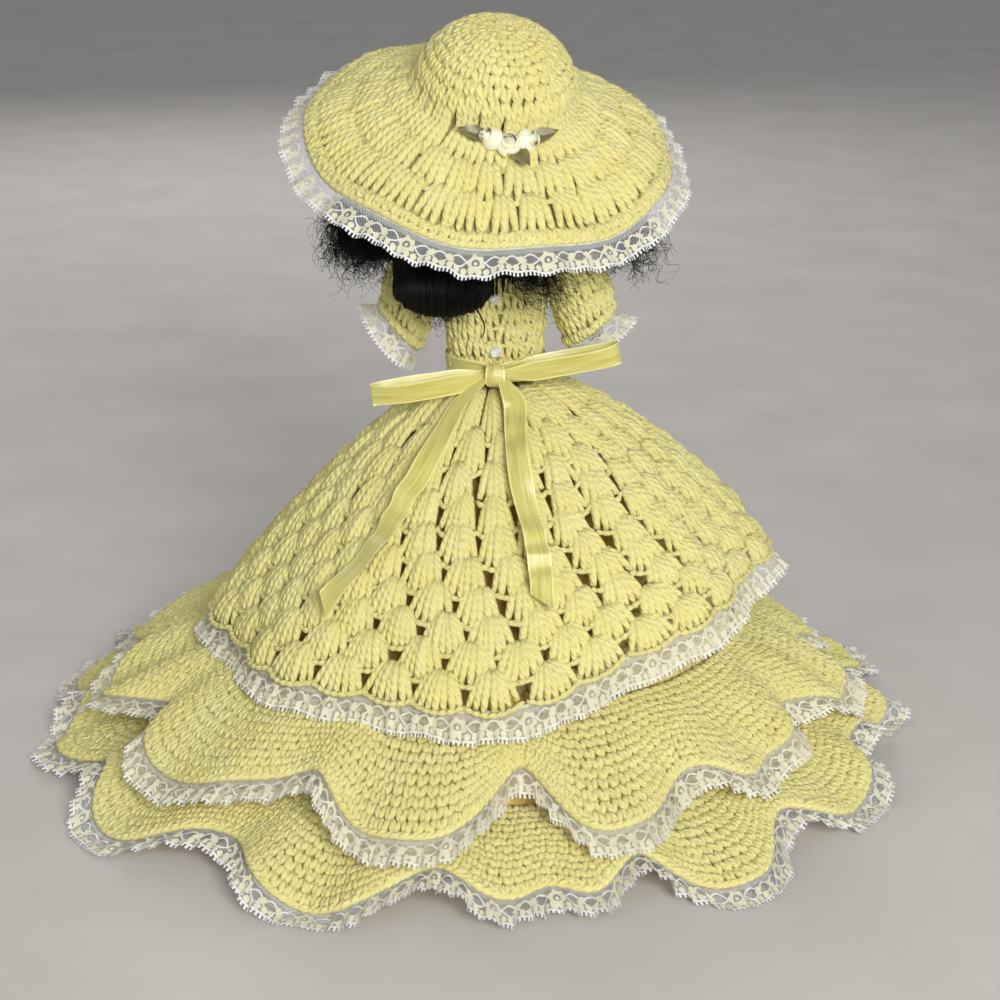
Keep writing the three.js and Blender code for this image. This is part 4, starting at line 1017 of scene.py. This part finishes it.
ROSES = (1, 2, 3)
rose_hub = sum(middle_of(f"rosebud_{k}") for k in ROSES) / len(ROSES)
rosebuds = [make_rosebud(f"rosebud_{k}", k, rose_hub) for k in ROSES]
leaves = [make_leaf(f"rose_leaf_{k}", rose_hub) for k in ROSES]


# Black doll hair with streaks along each strand
def hair_material():
    material, tree, surface = shader("hair_black")
    tone = streaked(tree, (0.08, 6.0), 1.0, 4.0) * 0.6 + noise(tree, 900.0) * 0.4
    feed(surface, {
        "Base Color": ramp(tone, (0.3, "020202"), (0.8, "0B0A09")),
        "Normal": bump(tree, 0.5, 0.0003, tone.socket),
        "Roughness": 0.55, "Anisotropic": 0.6, "Specular IOR Level": 0.16,
    })
    return material


# Moulded vinyl skin with a soft sheen, faint mottling and blushed lips and cheeks
def skin_material(name, lips=False):
    material, tree, surface = shader(name)
    colour = ramp(noise(tree, 90.0, 4.0), (0.3, "7E4F33"), (0.7, "925F40"))
    if lips:
        across, z = uv_wires(tree)
        x = across.size()
        bow = (x * 0.9).sine() * 0.35
        upper = (z - 8.15 - bow + x * 0.24).below(0.55) * (z - 7.15 + x * 0.02).above(0.0)
        lower = (z - 7.15).below(0.1) * (z - 5.75 - x * x * 0.1).above(0.0)
        mouth = upper.either(lower) * x.below(3.9)
        cheek = (x - 9.5).distance((z - 13.0) * 1.2) / 5.0
        blush = (cheek * -1.0 + 1.0).apply("MAXIMUM", 0.0) * 0.35
        colour = blend(tree, blush.socket, colour, rgb("9B4A3C"))
        colour = blend(tree, mouth.socket, colour, rgb("8E2F35"))
    feed(surface, {
        "Base Color": colour,
        "Normal": bump(tree, 0.15, 0.0002, noise(tree, 2400.0, 2.0).socket),
        "Roughness": 0.42, "Subsurface Weight": 0.12, "Subsurface Radius": (0.004, 0.002, 0.001),
    })
    return material


hair = hair_material()
skin = skin_material("skin_vinyl")
face_skin = skin_material("skin_face", True)


# A smooth skin over a CAD solid, as a piece of its own
def soft_copy(name, source, voxel, rounds, material):
    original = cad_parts[source]
    piece = add_object(name, original.data.copy())
    piece.matrix_world = original.matrix_world.copy()
    piece.modifiers.new("weld", "WELD").merge_threshold = 1e-5
    skin_over = piece.modifiers.new("skin", "REMESH")
    skin_over.mode = "VOXEL"
    skin_over.voxel_size = voxel
    soften = piece.modifiers.new("soften", "SMOOTH")
    soften.factor = 0.5
    soften.iterations = rounds
    ready = piece.evaluated_get(bpy.context.evaluated_depsgraph_get())
    mesh = bpy.data.meshes.new_from_object(ready)
    piece.modifiers.clear()
    piece.data = mesh
    mesh.polygons.foreach_set("use_smooth", np.ones(len(mesh.polygons), dtype=bool))
    mesh.materials.clear()
    mesh.materials.append(material)
    return piece


# Hair's form by height: how much wider and deeper it is than the head, and where its middle lies
HAIR = np.array([
    [222, -7, -12, 33], [236, -1, -9, 25], [244, 3, -5, 16], [252, 6, 0, 9], [262, 9, 5, 5],
    [275, 11, 9, 3], [289, 12, 10, 2], [301, 11, 9, 3], [313, 6, 3, 6], [323, -8, -10, 9],
])


def on_hair(angle, z, grow):
    wide, deep, middle = read(HAIR, z)
    radius = ellipse(HEAD_WIDE + wide + grow, HEAD_DEEP + deep + grow, angle)
    return polar(radius, angle, z, middle)


# Hairs along lines of centres, thinner towards their tips
def hairs(pile, centres, normals, radius, start, thinning, sides=6):
    t = np.linspace(0, 1, centres.shape[1])
    radii = np.full(centres.shape[:2], radius) * (start - thinning * t)
    tubes(pile, centres, np.broadcast_to(normals, centres.shape), radii, sides)


# Centres that wind round lines, in the plane of the directions side and other
def wound(lines, side, other, size, turn):
    lines = lines + side[:, None] * (size * np.cos(turn))[..., None]
    return lines + other[:, None] * (size * np.sin(turn))[..., None]


# Two directions across each way, the first of them at random
def random_sides(way):
    side = unit(np.cross(way, rng.normal(0, 1, way.shape)))
    return side, np.cross(way, side)


def off_head(centres):
    return unit(centres - np.array([0, 4, 262.0]) + 1e-3)


# Strands down the back of the head, and down both sides from a parting in front
def make_cap_strands():
    pile = Pile()
    t = np.linspace(0, 1, 14)
    shape = (230, 1)
    back = np.linspace(-0.35, np.pi + 0.35, shape[0])[:, None] + jitter(0.03, shape)
    wave = 0.05 * np.sin(9 * t + rng.uniform(0, 6, shape))
    beside = smooth(np.abs(back - np.pi / 2), 0.6, 1.2)
    z = mix(297, mix(rng.uniform(213, 238, shape), CHIN, beside), t)
    ripple = 0.4 * np.sin(12 * t + rng.uniform(0, 6, shape))
    centres = on_hair(back + wave, z, 0.35 + jitter(0.25, shape) + ripple)
    hairs(pile, centres, off_head(centres), 0.42, 1.1, 0.6)
    for side in (-1, 1):
        lane = rng.uniform(0, 1, (80, 1))
        angle = -np.pi / 2 + side * (0.05 + 1.25 * t ** 0.8 + 0.1 * lane)
        z = mix(300, 286 - 26 * lane, t ** 1.6)
        centres = on_hair(angle, z, 0.5 + jitter(0.3, lane.shape))
        hairs(pile, centres, off_head(centres), 0.45, 1.1, 0.5)
    return pile.make("hair_cap_strands", hair)


# Roll low on the neck: hair falls from under the hat, wraps over the roll and turns in below it
def make_roll_strands():
    pile = Pile()
    lane = rng.uniform(-0.99, 0.99, (420, 1))
    t = np.linspace(0, 1, 30)
    turned = np.radians(mix(110, -130, smooth(t, 0.25, 1)) + jitter(8, lane.shape))
    r = 11.0 * np.sqrt(1.02 - lane ** 2) + jitter(0.35, lane.shape) + 0.25 * np.sin(9 * t + 40 * lane)
    x = 22 + (19.5 + 2.5 * (1 - t)) * lane + 0.6 * np.sin(5 * t + 30 * lane)
    z = 217 + r * np.sin(turned) + 30 * (1 - smooth(t, 0, 0.45))
    centres = stack(x, 38.5 + r * np.cos(turned), z)
    hairs(pile, centres, stack(0 * x, np.cos(turned), np.sin(turned)), 0.42, 1.0, 0.0)
    loose = np.linspace(0, 1, 18)
    bend = stack(-4.5 * np.sin(2.2 * loose), 2.0 * np.sin(2 * loose), -13 * loose)
    centres = np.array([9.0, 46, 212]) + bend + jitter(0.25, (5, 1, 3))
    hairs(pile, centres, [0, 1.0, 0], 0.22, 1.1, 0.8)
    return pile.make("hair_roll_strands", hair)


# True for the strands that stay below the hat
def under_hat(centres):
    local = (centres - HAT_PLACE) @ HAT_TURN
    r = np.hypot(local[..., 0], local[..., 1])
    roof = np.where(r < CROWN_RADIUS - 4, 20, brim_fall(r) - 5)
    return (local[..., 2] < roof).all(axis=1)


# True for the strands that stay out of both sleeves' boxes, with the head straight or turned all the way
def clear_of_sleeves(centres):
    clear = np.ones(len(centres), bool)
    for turn in np.radians([-NECK_TURN, 0, NECK_TURN]):
        x = centres[..., 0] * np.cos(turn) - centres[..., 1] * np.sin(turn)
        y = centres[..., 0] * np.sin(turn) + centres[..., 1] * np.cos(turn)
        moved = stack(x, y, centres[..., 2])
        for side in ("left", "right"):
            low, high = [np.array(corner) * 1000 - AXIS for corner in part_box(f"sleeve_{side}")]
            clear &= ~((moved > low) & (moved < high)).all(axis=-1).any(axis=1)
    return clear


# Ringlets that lie flat on a bunch, so that it is frizzy all over when the hat is off
def make_ringlets(name, bunch, count):
    pile = Pile()
    chosen = [bunch.data.vertices[k] for k in rng.integers(0, len(bunch.data.vertices), count)]
    spots = np.array([bunch.matrix_world @ vertex.co for vertex in chosen]) * 1000 - AXIS
    normals = np.array([vertex.normal for vertex in chosen])
    side, other = random_sides(normals)
    turn = np.linspace(0, 5.5, 16)
    size = rng.uniform(1.0, 2.6, (count, 1))
    rise = 0.25 + 0.25 * np.sin(2 * turn)
    centres = wound(spots[:, None], side, other, size, turn) + normals[:, None] * rise[:, None]
    hairs(pile, centres, normals[:, None], 0.16, 1.0, 0.0, 4)
    return pile.make(name, hair)


# Frizzy bunch: fine corkscrew strands that leave the bunch in all directions
def make_curl_strands(name, centre, size, count):
    pile = Pile()
    t = np.linspace(0, 1, 34)
    shape = (count, 1)
    outward = np.array([np.sign(centre[0]) * 0.7, 0.35, -0.45])
    way = unit(rng.normal(0, 1, (count, 3)) * [1.25, 1.0, 0.9] + outward)
    start = unit(rng.normal(0, 1, (count, 3))) * size
    start = centre + start * rng.uniform(0.2, 0.75, shape) * [1.3, 0.9, 0.9]
    reach = size * rng.uniform(0.2, 0.95, shape)
    sag = -size * rng.uniform(0.1, 0.5, shape)
    side, other = random_sides(way)
    coil = rng.uniform(1.0, 3.4, shape) * (0.5 + 0.5 * t)
    phase = TURN * (rng.uniform(1.5, 3.6, shape) * t + rng.uniform(0, 1, shape))
    lines = start[:, None] + way[:, None] * (reach * t)[..., None]
    centres = wound(lines, side, other, coil, phase)
    centres[..., 2] += sag * t ** 2
    kept = under_hat(centres) & clear_of_sleeves(centres)
    hairs(pile, centres[kept], other[kept][:, None], 0.12, 1.2, 0.7, 4)
    return pile.make(name, hair)


# Loose wisps: fine curling hairs that fall from under the hat all round the back
def make_wisps(count):
    pile = Pile()
    shape = (count, 1)
    t = np.linspace(0, 1, 26)
    angle = rng.uniform(-0.1, np.pi + 0.1, shape)
    root = on_hair(angle, rng.uniform(222, 250, shape), rng.uniform(0, 5, shape))[:, 0]
    out = unit(stack(np.cos(angle[:, 0]) * 1.6, np.sin(angle[:, 0]) * 0.9, rng.uniform(-1.2, 0.1, count)))
    side, other = random_sides(out)
    reach = rng.uniform(9, 26, shape)
    coil = rng.uniform(1.5, 5.5, shape) * np.sqrt(t)
    phase = TURN * (rng.uniform(0.6, 2.2, shape) * t + rng.uniform(0, 1, shape))
    lines = root[:, None] + out[:, None] * (reach * t)[..., None]
    centres = wound(lines, side, other, coil, phase)
    centres[..., 2] -= 6 * t ** 2
    over_button = np.abs(centres[..., 0]) + np.maximum(0, centres[..., 2] - 222) < 6
    kept = under_hat(centres) & clear_of_sleeves(centres) & ~over_button.any(axis=1)
    hairs(pile, centres[kept], other[kept][:, None], 0.13, 1.1, 0.7, 4)
    return pile.make("hair_wisps", hair)


hair_pieces = [
    (soft_copy("hair_cap_mass", "hair_cap", 0.0014, 8, hair), "hair_cap"),
    (make_cap_strands(), "hair_cap"),
    (make_wisps(1300), "hair_cap"),
    (soft_copy("hair_roll_mass", "hair_roll", 0.0010, 6, hair), "hair_roll"),
    (make_roll_strands(), "hair_roll"),
    (make_curl_strands("hair_roll_frizz", np.array([22, 40, 216.0]), 12, 260), "hair_roll"),
]
for side, centre, size in (("left", (50, 31, 244.0), 20), ("right", (-54, 30, 245.0), 19)):
    name = "hair_curls_" + side
    bunch = soft_copy(name + "_mass", name, 0.0016, 4, hair)
    ringlets = make_ringlets(name + "_ringlets", bunch, 1400)
    strands = make_curl_strands(name + "_strands", np.array(centre), size, 1700)
    hair_pieces += [(bunch, name), (ringlets, name), (strands, name)]


# Doll's head by share of its height: shares of its width and depth, and where its middle lies
HEAD = np.array([
    [0, 0.24, 0.28, -9.5], [0.06, 0.5, 0.5, -7.5], [0.17, 0.74, 0.72, -4], [0.31, 0.9, 0.87, -2],
    [0.41, 0.96, 0.92, -1], [0.5, 0.99, 0.96, 0], [0.65, 1, 1, 1], [0.8, 0.9, 0.9, 1],
    [0.91, 0.66, 0.69, 1], [0.98, 0.32, 0.36, 1], [1.0, 0.06, 0.06, 1],
])


# Face: height of each rise or hollow, its place beside the middle line and above the chin, width and height
FACE = (
    (2.4, 0, 14.5, 1.9, 3.0),  # tip of the nose
    (1.2, 0, 18.5, 1.5, 5.0),  # bridge of the nose
    (0.7, 1.9, 13.6, 1.2, 1.1),  # nostrils
    (0.8, 0, 8.2, 3.4, 1.0),  # upper lip
    (0.9, 0, 6.2, 2.8, 1.1),  # lower lip
    (-0.5, 0, 7.15, 3.4, 0.45),  # line of the mouth
    (0.9, 0, 1.8, 3.5, 2.4),  # chin
    (0.7, 9.0, 13, 4.5, 4.0),  # cheeks
    (-1.3, 7.2, 20.5, 4.2, 3.0),  # hollows of the eyes
    (0.5, 6.5, 25, 6.0, 2.2),  # brows
)


def mound(x, z, at_x, at_z, wide, tall):
    return np.exp(-((np.abs(x) - at_x) / wide) ** 2 - ((z - at_z) / tall) ** 2)


def head_surface(angle, share):
    wide, deep, middle = read(HEAD, share)
    radius = ellipse(HEAD_WIDE * wide, HEAD_DEEP * deep, angle)
    x, y, z = radius * np.cos(angle), middle + radius * np.sin(angle), HEAD_TALL * share
    front = smooth(-np.sin(angle), 0.1, 0.7)
    push = sum(height * mound(x, z, *place) for height, *place in FACE)
    return stack(x, y - front * push, CHIN + z)


# Head with UVs in millimetres from the middle line and the chin
def make_head():
    pile = Pile()
    shares = np.concatenate([[0.0], np.linspace(0.01, 0.985, 78), [0.999]])
    angle, share = np.meshgrid(around(110), shares)
    points = head_surface(angle, share)
    quads = grid_quads(len(shares), 110, True)
    corners = points.reshape(-1, 3)[quads.reshape(-1, 4)]
    uvs = np.stack([corners[..., 0] + 60.0 * (corners[..., 1] > -3), corners[..., 2] - CHIN], axis=-1)
    pile.add(points, quads[..., ::-1], uvs[:, ::-1])
    return pile.make("doll_head_skin", face_skin)


# Painted eyes: white, iris, pupil and a catchlight
def eye_material():
    material, tree, surface = shader("eye_painted")
    x, z = uv_wires(tree)
    glint = (x - 0.5).distance(z - 0.6).below(0.34)
    shade = ramp(x.distance(z) / 2.6, (0.0, "080606"), (0.27, "080606"), (0.3, "5B3A1E"), (0.6, "7A5228"),
                 (0.66, "2A1A10"), (0.72, "F1ECE4"), (1.0, "E2DAD0"))
    feed(surface, {
        "Base Color": blend(tree, glint.socket, shade, rgb("FFFFFF")),
        "Normal": bump(tree, 0.05, 0.0001, noise(tree, 1500.0, 2.0).socket),
        "Roughness": 0.15,
    })
    return material


# Points of the face at distances from the middle line and heights above the chin
def face_point(x, z):
    x, z = x.ravel(), z.ravel()
    fine = np.linspace(-np.pi, 0, 361)
    rows = head_surface(fine[None], z[:, None] / HEAD_TALL)
    y = [np.interp(value, row[:, 0], row[:, 1]) for value, row in zip(x, rows)]
    return stack(x, np.array(y), CHIN + z)


# Upper lid, brow and lower lid: middle, height above the chin, bend, half length and thickness
EYE_PLACE = 7.2
LIDS_AND_BROW = (
    (EYE_PLACE, 20.6, 2.0, 3.8, 0.34),
    (EYE_PLACE + 0.4, 25.4, 1.5, 4.8, 0.42),
    (EYE_PLACE, 20.2, -1.4, 3.3, 0.14),
)


def make_eyes():
    eyes = Pile()
    lines = Pile()
    for side in (-1, 1):
        turn, reach = np.meshgrid(around(40), np.linspace(0.04, 1, 9))
        lid = np.where(np.sin(turn) > 0, 1.95, 1.35)
        x, z = 3.5 * reach * np.cos(turn), lid * reach * np.sin(turn) * (1 - 0.15 * np.cos(turn) ** 2)
        points = face_point(side * EYE_PLACE + x, 20.4 + z + side * 0.07 * x)
        points[:, 1] -= (0.25 + 0.75 * (1 - reach ** 2)).ravel()
        uvs = np.stack([x, z], axis=-1).reshape(-1, 2)
        quads = grid_quads(9, 40, True).reshape(-1, 4)
        eyes.add(points, quads, uvs[quads])
        t = np.linspace(-1, 1, 18)
        for middle, rise, bend, half, fat in LIDS_AND_BROW:
            up = rise + bend * (1 - t ** 2) + 0.35 * side * t
            centres = face_point(side * middle + half * t, up)[None] - np.array([0, 0.25, 0])
            radii = np.maximum(fat * (1.05 - 0.75 * np.abs(t + 0.25 * side) ** 1.6), 0.05)
            tubes(lines, centres, np.broadcast_to([0, -1.0, 0], centres.shape), radii[None])
    return eyes.make("doll_eyes", eye_material()), lines.make("doll_lids_and_brows", hair)


head = make_head()
eyes = make_eyes()
limbs = []
for part in ("arm", "leg"):
    for side in ("left", "right"):
        limb = soft_copy(f"{part}_{side}_skin", f"doll_{part}_{side}", 0.0008, 6, skin)
        limbs.append((limb, f"doll_{part}_{side}", f"{side}_{part}"))
torso = soft_copy("torso_skin", "doll_torso", 0.0008, 4, skin)


# Clear faceted buttons
def button_material():
    material, tree, surface = shader("button_clear")
    cloud = noise(tree, 700.0)
    feed(surface, {
        "Base Color": ramp(cloud, (0.35, "E9E9E4"), (0.65, "FFFFFF")),
        "Normal": bump(tree, 0.1, 0.0001, cloud.socket),
        "Roughness": 0.08, "Transmission Weight": 0.35, "IOR": 1.5,
    })
    return material


# Round button with eight ridges and a sunk face: each ring has a radius, a height and the size of its ridges
BUTTON_RINGS = np.array([
    [2.3, 0.0, 0.0], [2.6, 0.5, 0.07], [2.6, 0.9, 0.07],
    [1.75, 1.9, 0.07], [1.5, 1.75, 0.0], [0.1, 1.55, 0.0],
])
BUTTON_SIDES = 16


def make_button(name, material):
    centre = middle_of(name)
    centre[1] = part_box(name)[0][1] * 1000 - AXIS[1] + 0.1
    radius, rise, ridge = BUTTON_RINGS.T[..., None]
    radius = radius * (1 + ridge * np.where(np.arange(BUTTON_SIDES) % 2 == 0, 1, -1))
    angle = around(BUTTON_SIDES)
    points = centre + stack(radius * np.cos(angle), rise, radius * np.sin(angle))
    pile = Pile()
    pile.sheet(points, np.linspace(0, 10, BUTTON_SIDES + 1), np.linspace(0, 4, len(points)))
    piece = pile.make(name + "_clear", material)
    piece.data.polygons.foreach_set("use_smooth", np.zeros(len(piece.data.polygons), dtype=bool))
    return piece


clear = button_material()
BUTTONS = ("back_button_top", "back_button_lower")
buttons = [make_button(name, clear) for name in BUTTONS]

# Studio: plain pale floor, soft light and the photograph's camera. Floor and lights are placed in metres
scene = bpy.context.scene
FLOOR_HALF = 4.0

# Camera: its place in millimetres about the doll's axis and its dip in degrees
CAMERA_PLACE = np.array([-2.1, 903.0, 430.0])
CAMERA_DIP = 19.56
FOCAL_PIXELS = 2096
PICTURE_PIXELS = 1000


def make_floor():
    mesh = bpy.data.meshes.new("floor")
    corners = [(x * FLOOR_HALF, y * FLOOR_HALF, 0) for x, y in ((-1, -1), (1, -1), (1, 1), (-1, 1))]
    mesh.from_pydata(corners, [], [(0, 1, 2, 3)])
    floor = add_object("floor", mesh)
    material, tree, surface = shader("floor_pale")
    tone = ramp(noise(tree, 14.0, 4.0), (0.3, "C9C5BE"), (0.7, "D2CEC8"))
    feed(surface, {"Base Color": tone, "Roughness": 0.85})
    mesh.materials.append(material)


def make_light(name, place, target, size, power):
    data = bpy.data.lights.new(name, "AREA")
    data.size = size
    data.energy = power
    light = add_object(name, data)
    light.location = place
    way = np.array(target) - np.array(place)
    light.rotation_euler = (math.acos(-way[2] / np.linalg.norm(way)), 0, math.atan2(-way[0], way[1]))


def make_camera():
    data = bpy.data.cameras.new("camera")
    data.sensor_width = 36
    data.lens = data.sensor_width * FOCAL_PIXELS / PICTURE_PIXELS
    data.clip_end = 20
    camera = add_object("camera", data)
    camera.location = (AXIS + CAMERA_PLACE) / 1000
    camera.rotation_euler = (math.radians(90 - CAMERA_DIP), 0, math.pi)
    scene.camera = camera


make_floor()
make_light("key", (-0.45, 1.5, 0.8), (0, 0, 0.12), 0.6, 23)
make_light("fill", (0.9, 0.9, 0.9), (0, 0, 0.15), 0.9, 1.5)
make_light("front", (0.3, -1.5, 1.0), (0, 0, 0.2), 0.9, 7)
scene.world = bpy.data.worlds.new("studio")
scene.world.use_nodes = True
feed(scene.world.node_tree.nodes["Background"], {"Color": rgb("DCDCE0"), "Strength": 0.4})
scene.view_settings.view_transform = "Standard"
make_camera()


# What pieces stand for, and the body that they move with
def settle(pieces, name, body):
    for piece in pieces:
        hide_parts(name)
        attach(piece, body)


# Crocheted cloth, whose last piece is the ground: its flat area is worked out and left unused
def declare_crochet(pieces, surface, low, high, rests_on):
    rings = [ring_length(surface, share) / 1000 for share in np.linspace(low, high, 9)]
    deep = depth_of(surface, low, high) / 1000
    area = deep * sum(rings) / len(rings)
    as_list(pieces[:-1])


# A strip of lace or ribbon, settled on its body; its flat length is worked out and left unused
def settle_strip(strip, name, body):
    piece, length = strip
    settle([piece], name, body)
    length / 1000


def settle_lace(strip, name, body, rests_on):
    settle_strip(strip, name, body)


def settle_ribbon(strip, name):
    settle_strip(strip, name, "body")


settle(overskirt, "overskirt", "body")
settle(underskirt, "underskirt", "body")
settle(middle, "ruffle_middle", "body")
settle(lower, "ruffle_lower", "body")
settle(bodice, "bodice", "body")
settle(hat, "hat", "hat")
declare_crochet([*overskirt, *underskirt], underskirt_surface, 0, 0.995, ["doll_torso"])
declare_crochet(middle, middle_tier, 0.02, HEM, ["underskirt_cloth"])
declare_crochet(lower, lower_tier, 0.02, HEM, ["underskirt_cloth"])
declare_crochet(bodice, bodice_surface, 0.02, 0.97, ["doll_torso"])
declare_crochet(hat, hat_surface, 0.02, HEM, ["hair_cap"])

settle_lace(over_lace, "overskirt_lace", "body", "overskirt_shells")
settle_lace(middle_lace, "ruffle_middle_lace", "body", "middle_ruffle_ground")
settle_lace(lower_lace, "ruffle_lower_lace", "body", "lower_ruffle_ground")
settle_lace(hat_lace, "hat_lace", "hat", "hat_ground")
for (name, side), sleeve, lace in zip(SIDES, sleeves, cuff_lace):
    settle(sleeve, "sleeve_" + name, name + "_arm")
    declare_crochet(sleeve, sleeve_surface(side), 0.02, 0.99, ["doll_arm_" + name])
    settle_lace(lace, "sleeve_lace_" + name, name + "_arm", "sleeve_ground_" + name)

settle_ribbon(sash, "sash_band")
for (name, side), loop, tail in zip(SIDES, loops, tails):
    settle_ribbon(loop, "bow_loop_" + name)
    settle_ribbon(tail, "ribbon_tail_" + name)
settle([knot], "bow_knot", "body")
for k, rosebud, leaf in zip(ROSES, rosebuds, leaves):
    settle([rosebud], f"rosebud_{k}", "hat")
    settle([leaf], f"rose_leaf_{k}", "hat")

for piece, name in hair_pieces:
    settle([piece], name, "head")
settle([head], "doll_head", "head")
for piece in eyes:
    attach(piece, "head")
for piece, name, body in limbs:
    settle([piece], name, body)
settle([torso], "doll_torso", "body")
for piece, name in zip(buttons, BUTTONS):
    settle([piece], name, "body")
